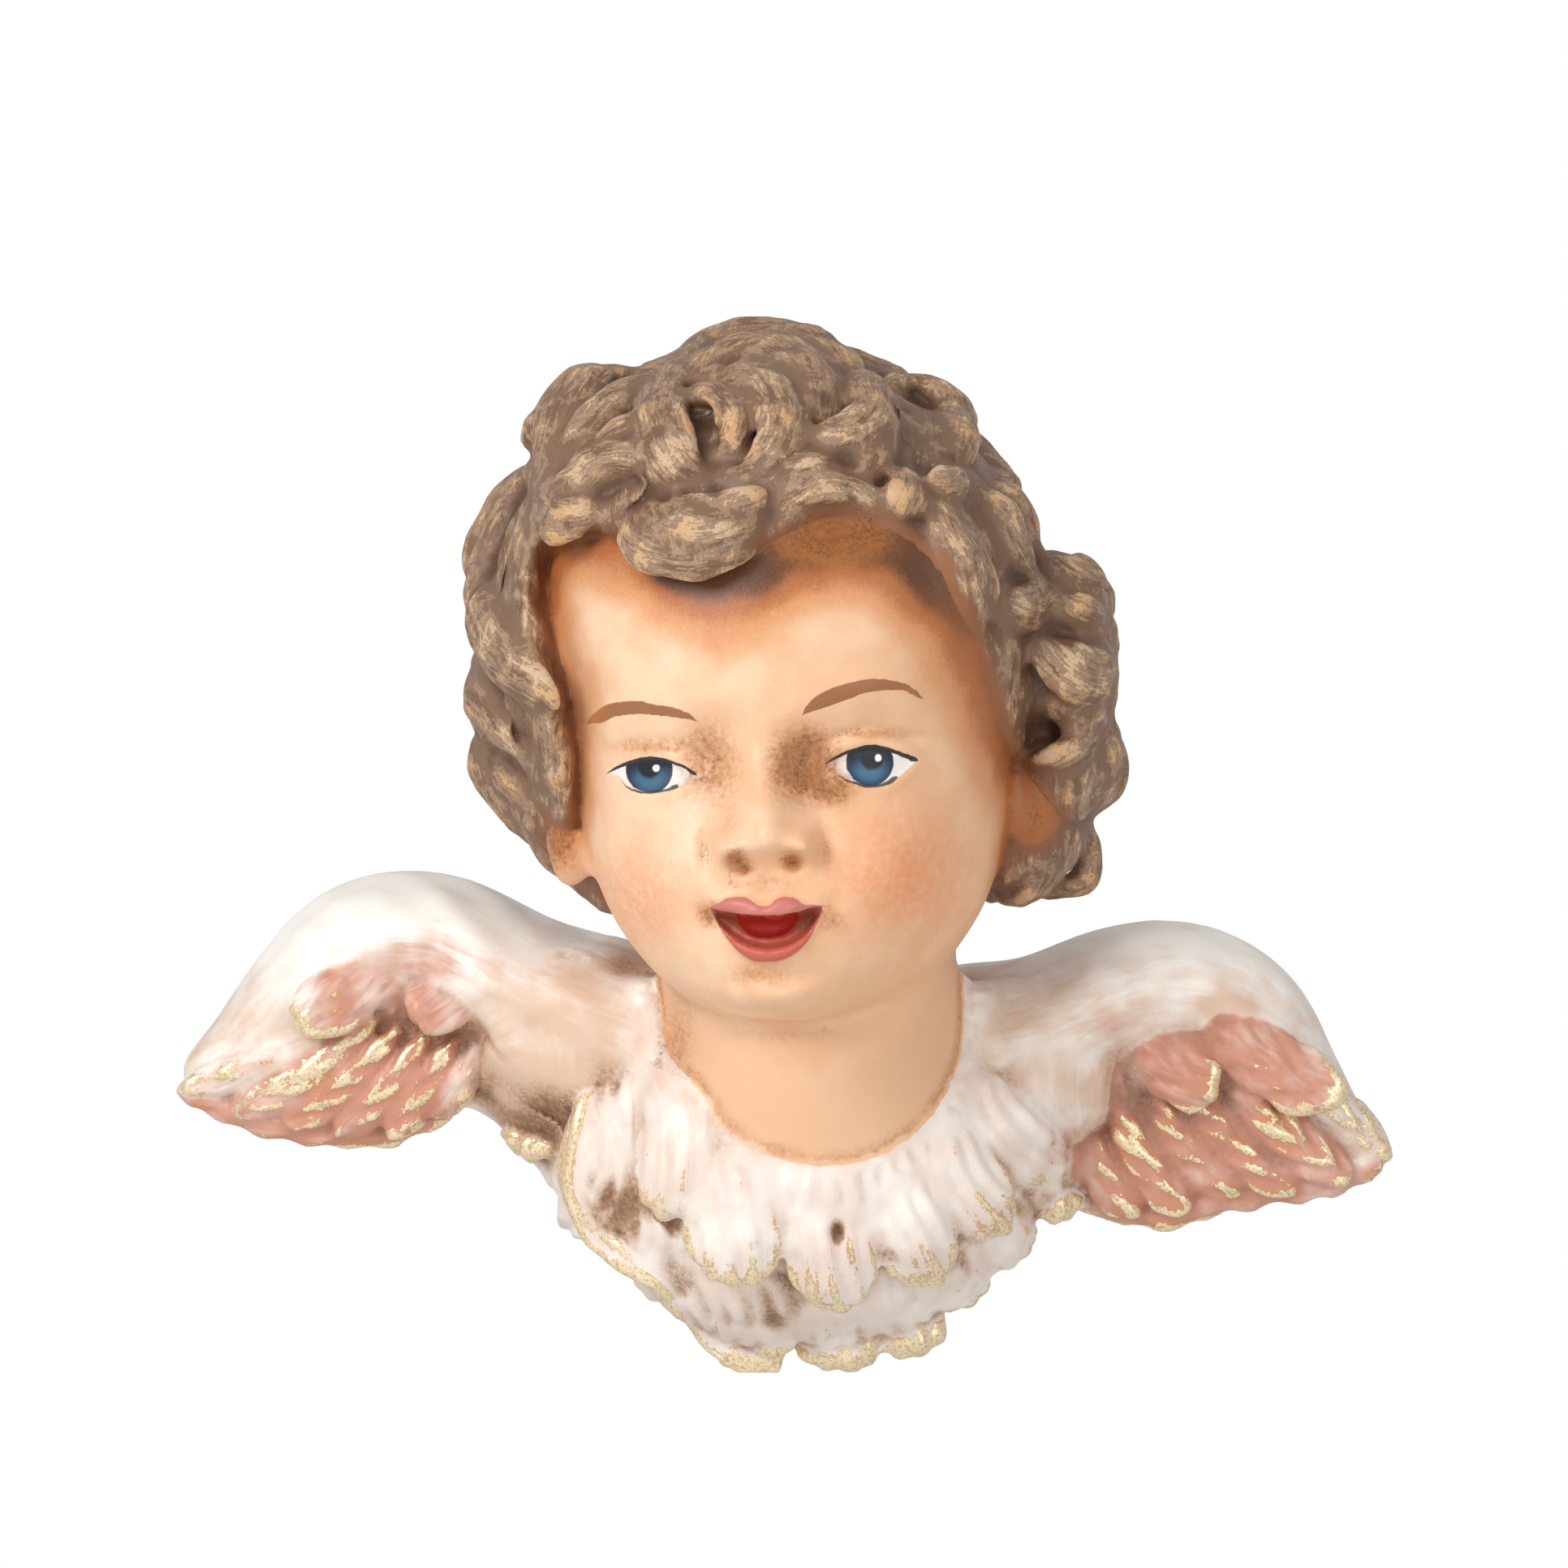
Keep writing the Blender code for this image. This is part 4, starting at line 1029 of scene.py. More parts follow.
LEFT_ARM = (
    Station(-8, -22, 11, 25), Station(-20, -15, 11, 24), Station(-33, -9.8, 9.8, 21.5),
    Station(-45, -3.6, 9.2, 19), Station(-55, -4, 8.6, 17), Station(-63, -10.5, 7.6, 14),
    Station(-70, -17, 5.6, 10.5), Station(-77.5, -21.8, 2.8, 7),
)
RIGHT_ARM = (
    Station(14, -22, 11, 25), Station(24, -17.5, 11, 24), Station(34, -15, 9.6, 21.5),
    Station(45, -10.5, 9.2, 19), Station(54, -9.6, 8.6, 17), Station(62, -13.5, 7.8, 14.5),
    Station(68, -21, 6, 11), Station(73, -27, 4.2, 9), Station(77.5, -31.5, 2.4, 6.5),
)
LEFT_FEATHERS = (
    Feather((-54, 13, -11), (-78.6, 5.5, -23.2), 2.6, 2.8, 1, 8, 0.5, 0.55),
    Feather((-52.5, 13.5, -13.2), (-71.6, 6.5, -26), 3, 2.9, 1, 8, 0.9, 1),
    Feather((-49.5, 13.5, -14.6), (-64.6, 7, -27.6), 2.8, 2.9, 0.8, 8, 1, 0.75),
    Feather((-46, 13.5, -15.4), (-57.6, 7.5, -28.6), 2.8, 2.9, 0.6, 8, 1, 0.7),
    Feather((-42.4, 13.5, -16), (-51, 8, -28.2), 2.7, 2.9, 0.4, 8, 1, 0.7),
    Feather((-39, 13, -16.6), (-45, 8.5, -26.2), 2.6, 2.9, 0.2, 8, 0.8, 0.6),
    Feather((-47, 13.5, 2), (-63, 15.5, -14.4), 4.6, 2.4, 1.5, 8, 0.8, 0.4),
    Feather((-38, 14, -1), (-48, 16.5, -13.2), 4.6, 2.2, 2, 10, 0.8, 0.1),
    Feather((-25, 17, -4), (-38, 19, -15.6), 7, 2.2, 2, 10, 0.4, 0),
    Feather((-18, 14, -13), (-30.5, 13, -25.5), 6, 3.2, 1.5, 10, 0.1, 0.4),
)
RIGHT_FEATHERS = (
    Feather((65, 10.5, -15), (79.6, 5, -32), 3, 2.6, -1, -12, 0.6, 0.75),
    Feather((56, 12, -17), (74.8, 6.8, -34.8), 3.6, 3, -1.4, -16, 1, 0.72),
    Feather((51, 12, -18.5), (67.6, 6.8, -36.2), 3.6, 3, -1.2, -18, 1, 0.62),
    Feather((47, 11.5, -20.5), (60.4, 6.8, -36.8), 3.5, 3, -1, -20, 1, 0.62),
    Feather((43, 11, -23), (53.4, 7.2, -38.8), 3.6, 3, -0.6, -20, 1, 0.66),
    Feather((38.5, 9.5, -26), (46.6, 7.5, -39.2), 3.4, 2.8, -0.3, -18, 1, 0.62),
    Feather((54.5, 13.5, -8.5), (73.4, 14, -23.6), 4.4, 2.6, -2.5, -8, 0.9, 0.5),
    Feather((47, 13.5, -14.5), (57.4, 15.2, -21.8), 4.6, 2.4, -2, -8, 1, 0.3),
)
HEMS = (
    ((-79, -22.6), (-72, -25.6), (-66, -27.2), (-60, -28), (-54, -28.2), (-48, -27), (-43, -25)),
    (
        (79, -32.4), (74, -34.4), (68, -35.6), (62, -36.4), (56, -37.8), (50, -39), (44, -38.6),
        (39, -37.4),
    ),
)


@dataclass
class Wings:
    """The two spread wings: a thick arm each, with coverts and long feathers below it."""

    underlays: tuple[Ball, ...] = (
        Ball((-45.0, 0.0, -14.0), (25.0, 12.0, 10.0)),
        Ball((47.0, 0.0, -21.5), (25.0, 12.0, 10.0)),
        Ball((-49.0, 0.0, -9.0), (10.0, 15.4, 8.0)),
        Ball((-37.0, 0.0, -14.0), (8.0, 15.4, 8.0)),
        Ball((51.0, 0.0, -18.0), (14.0, 15.4, 9.0)),
        Ball((43.0, 0.0, -21.0), (8.0, 14.6, 8.0)),
        Ball((37.5, 0.0, -31.0), (6.5, 12.5, 6.5)),
    )
    hem: float = 2.2
    hem_depth: float = 6.0
    hem_mark: Mark = Mark(Trait.WING, 0.9, 0.45)
    crisp_below: float = 4.0
    shoulders: tuple[Ball, ...] = (
        Ball((-27.0, -3.0, -17.0), (14.0, 19.5, 13.0)),
        Ball((32.0, -3.0, -20.0), (14.0, 18.5, 12.0)),
    )

    def lay_feather(self, clay: Clay, feather: Feather) -> None:
        """Adds one feather, rolled so that it overlaps its neighbour.

        Args:
            clay: What it is pressed onto.
            feather: Its place, size and colours.
        """
        root, tip = np.array(feather.root) * (1, -1, 1), np.array(feather.tip) * (1, -1, 1)
        spine = blade_path(root, tip, feather.bow)
        roll = np.array(Matrix.Rotation(math.radians(feather.roll), 3, (tip - root).tolist()))
        mark = Mark(Trait.WING, feather.rose, feather.gold)
        clay.blade(spine, feather.half, feather.thick, roll @ FRONT, mark, feather.half < self.crisp_below)

    def press(self, clay: Clay) -> None:
        """Adds both wings.

        Args:
            clay: What they are pressed onto.
        """
        for table in (LEFT_ARM, RIGHT_ARM):
            x, z, half, front = smooth_curve([(s.x, s.z, s.half, s.front) for s in table], 40).T
            spine = np.stack([x, 0 * x, z], axis=1)
            clay.sweep(spine, half, front, FRONT, Mark(Trait.WING), sides=36)
        for shoulder in self.shoulders:
            clay.ball(shoulder, Mark(Trait.WING))
        for underlay in self.underlays:
            clay.ball(underlay, Mark(Trait.WING, 1.0))
        for path in HEMS:
            x, z = smooth_curve(path, 40).T
            spine = np.stack([x, 0 * x - self.hem_depth, z], axis=1)
            width = self.hem * np.sin(math.pi * np.linspace(0.08, 0.92, len(x))) ** 0.5
            clay.sweep(spine, width, width, FRONT, self.hem_mark, crisp=True)
        for feather in LEFT_FEATHERS + RIGHT_FEATHERS:
            self.lay_feather(clay, feather)


LAPPETS = (
    Lappet((-25, -15), (-35, -30.6), -1, 2, 6, 2.8, 2, 0.8),
    Lappet((-22, -24), (-27.4, -40), -2.5, -0.6, 6, 2.6, 3, 0.3),
    Lappet((-17, -32), (-16.6, -49), -2.5, -1.2, 6.4, 2.6, 3, 0.2),
    Lappet((-10.5, -42), (-2.6, -59), -1.5, 3.5, 7.6, 3, 2, 0.8),
    Lappet((6, -42), (9.6, -59), -1.5, 3.8, 6.6, 3, 0, 0.9),
    Lappet((14, -41), (18.4, -57.4), -1.5, 3.8, 5.2, 3, -0.6, 0.9),
    Lappet((19, -37), (25, -50.2), -1.5, 3.4, 5.2, 3, -0.8, 0.9),
    Lappet((24.5, -33), (31.4, -44.6), -1.5, 3, 5, 3, -0.8, 0.8),
    Lappet((30, -26), (38.4, -39), -1.5, 2.4, 5.4, 2.8, -1, 0.7),
    Lappet((-17.6, -17), (-14.4, -38.4), -2.4, 4, 5.4, 3, 2.5, 0.2),
    Lappet((-9.5, -26.4), (-5.8, -46.4), -2.8, 6, 6.6, 3.2, 1.5, 0.7),
    Lappet((5, -29.6), (8, -49.8), -2.8, 6.6, 6, 3.2, -0.4, 0.8),
    Lappet((13.4, -27.5), (20.2, -46.4), -2.8, 6, 5.4, 3.2, -1, 0.9),
    Lappet((19, -23), (29, -40), -2.8, 5, 5.2, 3, -1.5, 0.8),
    Lappet((22.5, -16), (37, -33.4), -2.8, 4.2, 5.2, 3, -2.5, 0.8),
)
ROLLED_RIM = (
    (-22.6, -15), (-24, -21), (-25.6, -27.4), (-26.4, -34), (-24, -40.6), (-19.6, -44.2), (-15.2, -47),
    (-11.8, -51), (-8.6, -55.2), (-4.6, -58), (0.4, -58.8),
)
NECKLINE = (
    (-16.5, -8), (-15.5, -15), (-11, -23), (-4.5, -29), (4, -31.8), (11, -31.2), (17, -28),
    (21.5, -22.5), (23.8, -15.5), (24.4, -8),
)
PLATE_OUTLINE = (
    (-78.5, -22.5), (-70, -12.5), (-62, -2), (-52, 3), (-41, 1.5), (-28, -5), (-12, -8),
    (14, -10), (28, -9), (42, -6), (54, -4), (64, -8.5), (71, -20), (78.5, -31.5),
    (70, -33), (58, -34), (48, -36.5), (38, -36), (30, -40.5), (22, -48), (17.5, -54.5),
    (8, -56), (-4, -56.5), (-12, -52.5), (-22, -44.5), (-32, -33), (-38, -26), (-46, -24.5),
    (-56, -25.5), (-68, -25),
)


@dataclass
class Collar:
    """The chest, the collar of lappets on it and the raised edge around the neck."""

    chest: Ball = Ball((2.5, -4.0, -30.0), (33.0, 30.0, 24.0))
    heart: Point = (2.5, 12.0, -22.0)
    band: float = 5.6
    rim_half: float = 2.2
    rim_off: Pair = (3.0, 3.8)
    rim_mark: Mark = Mark(Trait.COLLAR, 0.0, 1.0)

    def depth(self, x: Array, z: Array, foot: float) -> Array:
        """Depth of the slope that the collar lies on, continued to the foot of the plate."""
        return np.minimum(shell_depth(self.chest, x, z), -foot)

    def lay_lappet(self, clay: Clay, lappet: Lappet, foot: float) -> None:
        """Adds one lappet on the slope of the chest.

        Args:
            clay: What it is pressed onto.
            lappet: Its place and size.
            foot: Depth of the plate below.
        """
        (root_x, root_z), (tip_x, tip_z) = lappet.root, lappet.tip
        spine = blade_path(np.array([root_x, 0.0, root_z]), np.array([tip_x, 0.0, tip_z]), lappet.bow)
        off = np.linspace(lappet.off_root, lappet.off_tip, len(spine))
        spine[:, 1] = self.depth(spine[:, 0], spine[:, 2], foot) - off
        mark = Mark(Trait.COLLAR, 0.0, lappet.gold)
        clay.blade(spine, lappet.half, lappet.thick, unit(spine - self.heart), mark)

    def lay_neckline(self, clay: Clay, head: Head) -> None:
        """Adds the raised upper edge of the collar.

        Args:
            clay: What it is pressed onto.
            head: The head whose neck it runs around.
        """
        path, neck = smooth_curve(NECKLINE, 60), smooth_curve(head.neck, 60)
        x, z = path.T
        axis_x, axis_y = np.interp(z, neck[:, 2], neck[:, 0]), np.interp(z, neck[:, 2], neck[:, 1])
        aside = np.clip(x - axis_x, 0.5 - head.neck_radius, head.neck_radius - 0.5)
        y = axis_y - np.sqrt(head.neck_radius**2 - aside**2)
        away = unit(np.stack([x - 4.0, 0 * x, z + 8.0], axis=1))
        ups = unit(unit(np.stack([x - axis_x, y - axis_y, 0 * x], axis=1)) + 0.55 * away)
        slope = unit(away - (away * ups).sum(1)[:, None] * ups)
        spine = np.stack([x, y, z], axis=1) + self.band * slope + 0.6 * ups
        width = self.band * np.sin(math.pi * np.linspace(0.12, 0.88, len(x))) ** 0.4
        clay.sweep(spine, width, 0.45 * width, ups, Mark(Trait.COLLAR), sides=28, turned=True)

    def lay_rim(self, clay: Clay, foot: float) -> None:
        """Adds the long rolled edge down the left of the collar.

        Args:
            clay: What it is pressed onto.
            foot: Depth of the plate below.
        """
        x, z = smooth_curve(ROLLED_RIM, 70).T
        off = np.interp(np.linspace(0, 1, len(x)), (0, 0.4, 1), (0.0, *self.rim_off))
        spine = np.stack([x, self.depth(x, z, foot) - off, z], axis=1)
        width = self.rim_half * np.sin(math.pi * np.linspace(0.1, 0.9, len(x))) ** 0.5
        clay.sweep(spine, 1.15 * width, width, unit(spine - self.heart), self.rim_mark, crisp=True)

    def press(self, clay: Clay, head: Head, foot: float) -> None:
        """Adds the chest and the whole collar.

        Args:
            clay: What they are pressed onto.
            head: The head whose neck the collar runs around.
            foot: Depth of the plate below.
        """
        clay.ball(self.chest, Mark(Trait.COLLAR))
        for lappet in LAPPETS:
            self.lay_lappet(clay, lappet, foot)
        self.lay_rim(clay, foot)
        self.lay_neckline(clay, head)


@dataclass
class Backing:
    """The flat slab behind the wings and collar, and the hole that the casting hangs by."""

    depth: float = 7.0
    behind: float = 3.0
    hole_x: float = 0.0
    hole_z: float = 46.0
    hole_radius: float = 4.0
    hole_depth: float = 9.0
    neck_back: Ball = Ball((2.0, -4.0, 2.0), (15.0, 12.0, 20.0))

    def press(self, clay: Clay) -> None:
        """Adds the slab and the filling behind the neck.

        Args:
            clay: What they are pressed onto.
        """
        outline = smooth_curve(PLATE_OUTLINE, 160, closed=True)
        rings = [np.insert(outline, 1, depth, axis=1) for depth in (self.behind, 0.0, -self.depth)]
        clay.loft(np.array(rings), Mark(Trait.COLLAR))
        clay.ball(self.neck_back, Mark(Trait.COLLAR))

    def cut(self, piece: bpy.types.Object) -> None:
        """Cuts the back flat at the wall.

        Args:
            piece: The casting in millimetres.
        """
        only(piece)
        bpy.ops.object.mode_set(mode="EDIT")
        bpy.ops.mesh.select_all(action="SELECT")
        bpy.ops.mesh.bisect(plane_co=(0, 0, 0), plane_no=(0, 1, 0), use_fill=True, clear_outer=True)
        bpy.ops.mesh.select_all(action="SELECT")
        bpy.ops.mesh.quads_convert_to_tris()
        bpy.ops.object.mode_set(mode="OBJECT")

    def drill(self, piece: bpy.types.Object) -> None:
        """Sinks the hanging hole into the back.

        Args:
            piece: The casting in millimetres.
        """
        bpy.ops.object.select_all(action="DESELECT")
        bpy.ops.mesh.primitive_cylinder_add(
            vertices=40, radius=self.hole_radius, depth=2 * self.hole_depth,
            location=(self.hole_x, 0, self.hole_z), rotation=(math.pi / 2, 0, 0))
        drill = bpy.context.object
        hole = piece.modifiers.new("hole", "BOOLEAN")
        hole.operation = "DIFFERENCE"
        hole.solver = "EXACT"
        hole.object = drill
        apply_modifier(piece, hole.name)
        bpy.data.objects.remove(drill)


HOLLOWS = (
    Hollow(-9.4, 63, 2.2, 0.8), Hollow(18.6, 64.2, 3.2, 2.4), Hollow(6.2, 66.2, 1.3, 1.2),
    Hollow(-19, 54.6, 2.6, 1.8), Hollow(-35, 44, 2.2, 1.8), Hollow(-35.8, 27.6, 2, 1),
    Hollow(-34, 23.6, 1.8, 1.4), Hollow(27.4, 47.8, 2.2, 1.6), Hollow(36.6, 36.4, 1.8, 1.2),
    Hollow(36.2, 24.4, 1.8, 1.2), Hollow(32, 16.6, 2.4, 1.6), Hollow(8, 57.9, 2, 1),
    Hollow(-14.7, -40.5, 2.6, 1.5), Hollow(-30.5, -28, 3.6, 1.2), Hollow(7.5, -40.5, 1.4, 1.2),
    Hollow(-2, -50, 4, 1.5), Hollow(63, -17.5, 2.6, 0.8),
)
BLUSHES = (Stain(-18.6, 2.6, 7.0, 7.4, 0.7), Stain(15.4, 6.0, 8.6, 8.2, 1.0))
# Brown wash in the creases of the face, about the ears and along the hairline, with painted shade beside the
# nose and its wings, under its tip and in the creases above the eyes.
WASHES_AND_SHADING = (
    Stain(6.4, 48.6, 7, 3.4, 1.25), Stain(-31.8, 41, 2, 6, 1), Stain(-13.4, -16, 3, 9, 0.42),
    Stain(-9.6, 9.2, 1.4, 3.4, 0.26), Stain(6.2, 8.8, 1.4, 3.2, 0.3), Stain(-6.4, 13, 1.8, 4.6, 0.25),
    Stain(-8.9, 19.6, 4.2, 6, 0.62), Stain(3.2, 19.6, 4.6, 4.6, 1.1), Stain(6.4, 16.6, 3.4, 2.3, 0.95),
    Stain(-5.6, 7.9, 1.6, 1.2, 0.8), Stain(-4.2, 6.4, 1.4, 1, 0.6), Stain(1.6, 7.6, 1.6, 1.4, 0.7),
    Stain(-1.9, 4.6, 6, 1.6, 0.35), Stain(-28.4, 11, 2.8, 6, 0.85), Stain(33, 13, 3, 6, 0.6),
    Stain(-8.7, 0.6, 1.9, 1.9, 0.75), Stain(6.6, 0, 2.2, 2, 0.5), Stain(-2.1, -7.1, 5.6, 1.8, 0.42),
    Stain(-15.4, 22, 6, 1.1, 0.55), Stain(12.6, 23.6, 6, 0.9, 0.45), Stain(0, -14.9, 9.4, 1.1, 0.25),
)
FLUSHES = (
    Stain(-47, -6.5, 13, 4.5, 0.8), Stain(-70, -18.5, 7, 4, 0.5), Stain(44, -15, 9, 6, 0.65),
    Stain(38, -29, 6, 6, 0.5), Stain(-27, -5, 6, 5, 0.3), Stain(74, -26, 4, 5, 0.4),
)
SOILS = (
    Stain(-28, -13, 10, 8, 0.45), Stain(-19.5, -37, 6, 4.5, 1.4), Stain(-32, -25.5, 6.5, 6.5, 1.3),
    Stain(-3, -51, 8, 3.5, 1.1), Stain(3, -46.5, 7, 1.6, 0.8), Stain(7.5, -40.4, 1, 2.2, 1.3),
    Stain(36, -12, 14, 4.5, 0.2), Stain(31, -21, 7, 9, 0.12), Stain(-50, -13, 7, 3, 0.6),
    Stain(46, -22.5, 4.5, 3, 0.9), Stain(63, -32, 5, 2, 0.6), Stain(14.5, -43.5, 2.5, 1.5, 0.8),
    Stain(23.5, -45.5, 2.5, 2, 0.7), Stain(33, -37.5, 3, 3, 0.6), Stain(-14.6, -32.5, 0.9, 4.5, 1.1),
    Stain(-17.8, -27.5, 0.8, 3.5, 0.7), Stain(2, -29.5, 13, 2, 0.4), Stain(-20, -6, 5, 2.5, 0.8),
    Stain(28, -10, 6, 4, 0.15), Stain(-11, -47, 4, 3, 0.6), Stain(-38, -22, 4, 4, 0.7),
    Stain(58, -11.5, 5, 1.4, 0.5), Stain(-2, -50, 15, 6, 0.42), Stain(20, -44.5, 8, 4, 0.4),
    Stain(-38, -18, 7, 5, 0.45), Stain(31, -33, 6, 4, 0.4),
)


@dataclass
class Casting:
    """The whole plaque: its clay, its carving and what the paint reads from it."""

    grain: Grain
    head: Head = field(default_factory=Head)
    face: Face = field(default_factory=Face)
    hair: Hair = field(default_factory=Hair)
    wings: Wings = field(default_factory=Wings)
    collar: Collar = field(default_factory=Collar)
    backing: Backing = field(default_factory=Backing)
    clay: Clay = field(default_factory=Clay)
    hairline: float = -1.5
    hair_above: float = 26.0
    hollow_reach: float = 2.5
    hollow_front: float = 9.0
    strand: float = 2.1
    fine_strand: float = 1.17
    barb: float = 2.5
    flute: float = 2.9
    shore_reach: float = 14.0
    sharp_angle: float = 50.0

    def press(self) -> None:
        """Presses all the lumps together."""
        self.backing.press(self.clay)
        self.wings.press(self.clay)
        self.collar.press(self.clay, self.head, self.backing.depth)
        self.head.press(self.clay)
        self.hair.press(self.clay)

    def softened(self, net: Net, points: Array, traits: Array) -> Array:
        """The skin worn soft: the hair a little, the plain arms, shoulders and neck more.

        Args:
            net: Its edges.
            points: Its places in millimetres.
            traits: What it is at each point.

        Returns:
            The moved points.
        """
        softer = net.relaxed(points, self.grain.rounds(self.grain.hair))
        softest = net.relaxed(softer, self.grain.rounds(self.grain.plain))
        gilt = traits[:, Trait.GOLD] > 0.05
        feathers = traits[:, Trait.WING] + traits[:, Trait.COLLAR]
        plain = feathers * (1 - gilt * traits[:, Trait.TIP]) + traits[:, Trait.SKIN]
        plain = net.relaxed(np.clip(plain, 0, 1), self.grain.rounds(0.8))[:, None]
        hair = net.relaxed(traits[:, Trait.HAIR], 3)[:, None]
        worn = points + hair * (softer - points)
        return worn + plain * (1 - hair) * (softest - worn)

    def grow_hair(self, points: Array, traits: Array) -> None:
        """Turns the skin of the skull above the hairline into hair.

        Args:
            points: The skin in millimetres.
            traits: What it is at each point; changed in place.
        """
        inside = inside_distance(smooth_curve(FACE_WINDOW, 90, closed=True), points[:, 0], points[:, 2])
        bald = (traits[:, Trait.SKIN] > 0.5) & (inside < self.hairline) & (points[:, 2] > self.hair_above)
        traits[bald, Trait.SKIN] = 0
        traits[bald, Trait.HAIR] = 1

    def hollowed(self, points: Array) -> Array:
        """Points pushed back where a hollow is pressed into the front.

        Args:
            points: The skin in millimetres.

        Returns:
            The moved points.
        """
        pushed = points.copy()
        for hollow in HOLLOWS:
            away = np.hypot(points[:, 0] - hollow.x, points[:, 2] - hollow.z) / hollow.radius
            near = away < self.hollow_reach
            front = points[near, 1] < points[near, 1].min() + self.hollow_front
            pushed[near, 1] += hollow.depth * np.exp(-(away[near] ** 2)) * front
        return pushed

    def grooves(self, points: Array, traits: Array) -> Array:
        """Height of the strands, barbs and flutes that a tool has cut.

        Args:
            points: The skin in millimetres.
            traits: What it is at each point.

        Returns:
            How far each point moves out along its normal.
        """
        _, hair, wing, collar, rose, gold, tone, across, along, rim, _ = traits.T
        drift = 0.9 * np.sin(along / 4.3 + 9 * tone) + 0.5 * ripple(points, 9.0, 3)
        strands = np.cos(2 * math.pi * (across + drift) / self.strand)
        strands = strands + 0.6 * np.cos(2 * math.pi * across / self.fine_strand + 5 * tone)
        barbs = np.cos(2 * math.pi * (0.45 * along + np.abs(across) + 0.3 * drift) / self.barb)
        flutes = np.cos(2 * math.pi * (across + 0.5 * drift) / self.flute)
        high = hair * (0.08 * strands + 0.30 * ripple(points, 8.0, 5))
        high += wing * (0.30 * barbs * rose + 0.25 * ripple(points, 8.0, 7))
        high += collar * (0.24 * flutes + 0.25 * ripple(points, 7.0, 9))
        high += (wing + collar) * 0.35 * rise(rim, 0.6, 0.95) * (gold > 0)
        return high * rise(-points[:, 1], 0.5, 4.0)

    def stained(self, points: Array, stains: tuple[Stain, ...]) -> Array:
        """How strongly soft clouds of colour cover each point.

        Args:
            points: The skin in millimetres.
            stains: The clouds.

        Returns:
            The strength of the strongest one there.
        """
        total = np.zeros(len(points))
        for s in stains:
            total = np.maximum(total, s.strength * bump(points[:, 0], points[:, 2], s.x, s.z, s.wide, s.tall))
        return total

    def shore(self, points: Array, own: Array, other: Array) -> Array:
        """Distance from points of one region to another.

        Args:
            points: The skin in millimetres.
            own: Which points are asked about.
            other: Which points are the other region.

        Returns:
            The distances, and a large one where it wasn't asked.
        """
        tree = KDTree(int(other.sum()))
        for index, point in enumerate(points[other].tolist()):
            tree.insert(point, index)
        tree.balance()
        far = np.where(other, 0.0, 30.0)
        far[own] = [tree.find(point)[2] for point in points[own].tolist()]
        return far

    def record(self, mesh: bpy.types.Mesh, net: Net, points: Array, traits: Array) -> None:
        """Writes what the paint reads onto the mesh.

        Args:
            mesh: The fine skin.
            net: Its edges.
            points: Its places in millimetres.
            traits: What it is at each point.
        """
        soft = net.relaxed(traits[:, BLENDED], 3)
        rose = BLENDED.index(Trait.ROSE)
        soft[:, rose] = np.maximum(soft[:, rose], self.stained(points, FLUSHES))
        for column, trait in enumerate(BLENDED):
            write_values(mesh, trait.name.lower(), soft[:, column])
        for trait in (Trait.TONE, Trait.ACROSS, Trait.ALONG, Trait.RIM, Trait.TIP):
            write_values(mesh, trait.name.lower(), traits[:, trait])
        normals = read_points(mesh, normals=True)
        near = net.relaxed(points, self.grain.rounds(self.grain.fine))
        far = net.relaxed(near, self.grain.rounds(self.grain.broad))
        write_values(mesh, "fine", ((points - near) * normals).sum(1))
        write_values(mesh, "broad", net.relaxed(((near - far) * normals).sum(1), 2))
        skin, hair = traits[:, Trait.SKIN] > 0.5, traits[:, Trait.HAIR] > 0.5
        collar = (traits[:, Trait.COLLAR] + traits[:, Trait.WING] > 0.5) & (points[:, 1] < -8)
        thinned = np.arange(len(points)) % 3 == 0
        shores = {
            "to_hair": self.shore(points, skin, hair & thinned) * ~hair,
            "to_skin": self.shore(points, hair & (points[:, 1] < -12), skin & thinned) * ~skin,
            "to_collar": self.shore(points, skin, collar & thinned),
        }
        for name, far_off in shores.items():
            write_values(mesh, name, net.relaxed(np.minimum(far_off, self.shore_reach), 3))
        # The stored wash also holds the painted shade beside the nose and above the eyes.
        for name, stains in (("blush", BLUSHES), ("wash", WASHES_AND_SHADING), ("soil", SOILS)):
            write_values(mesh, name, self.stained(points, stains))
        write_values(mesh, "front", self.head.facing(points))

    def model(self) -> bpy.types.Object:
        """Makes the finished mesh.

        Returns:
            The casting, in metres.
        """
        self.press()
        log.info("clay: %d lumps", self.clay.lumps)
        piece = self.clay.fused(self.grain.voxel)
        mesh = piece.data
        net = Net(mesh)
        points = net.relaxed(read_points(mesh), self.grain.rounds(self.grain.crisp))
        traits = self.clay.traced(points)
        log.info("skin: %d points", len(points))
        points = self.softened(net, points, traits)
        self.grow_hair(points, traits)
        skin = net.relaxed(traits[:, Trait.SKIN], 4)
        points = self.hollowed(self.face.carved(points, self.head.facing(points) * rise(skin, 0.1, 0.9)))
        write_points(mesh, points)
        jumps = np.abs(traits - net.relaxed(traits, 3))
        jump = jumps[:, Trait.TONE] + 0.1 * rise(jumps[:, Trait.ACROSS], 0.15, 1.15)
        seam = net.relaxed(jump, self.grain.rounds(0.6))
        cut = net.relaxed(self.grooves(points, traits) * rise(-seam, -0.05, -0.008), 2)
        points = points + read_points(mesh, normals=True) * cut[:, None]
        points = net.relaxed(points, 1, 0.3)
        write_points(mesh, points)
        write_values(mesh, "calm", rise(-seam, -0.05, -0.006))
        self.record(mesh, net, points, traits)
        self.backing.cut(piece)
        thin = piece.modifiers.new("thin", "DECIMATE")
        thin.ratio = min(1.0, self.grain.triangles / len(mesh.polygons))
        apply_modifier(piece, thin.name)
        self.backing.drill(piece)
        low, high = np.array(CAD_LOW), np.array(CAD_HIGH)
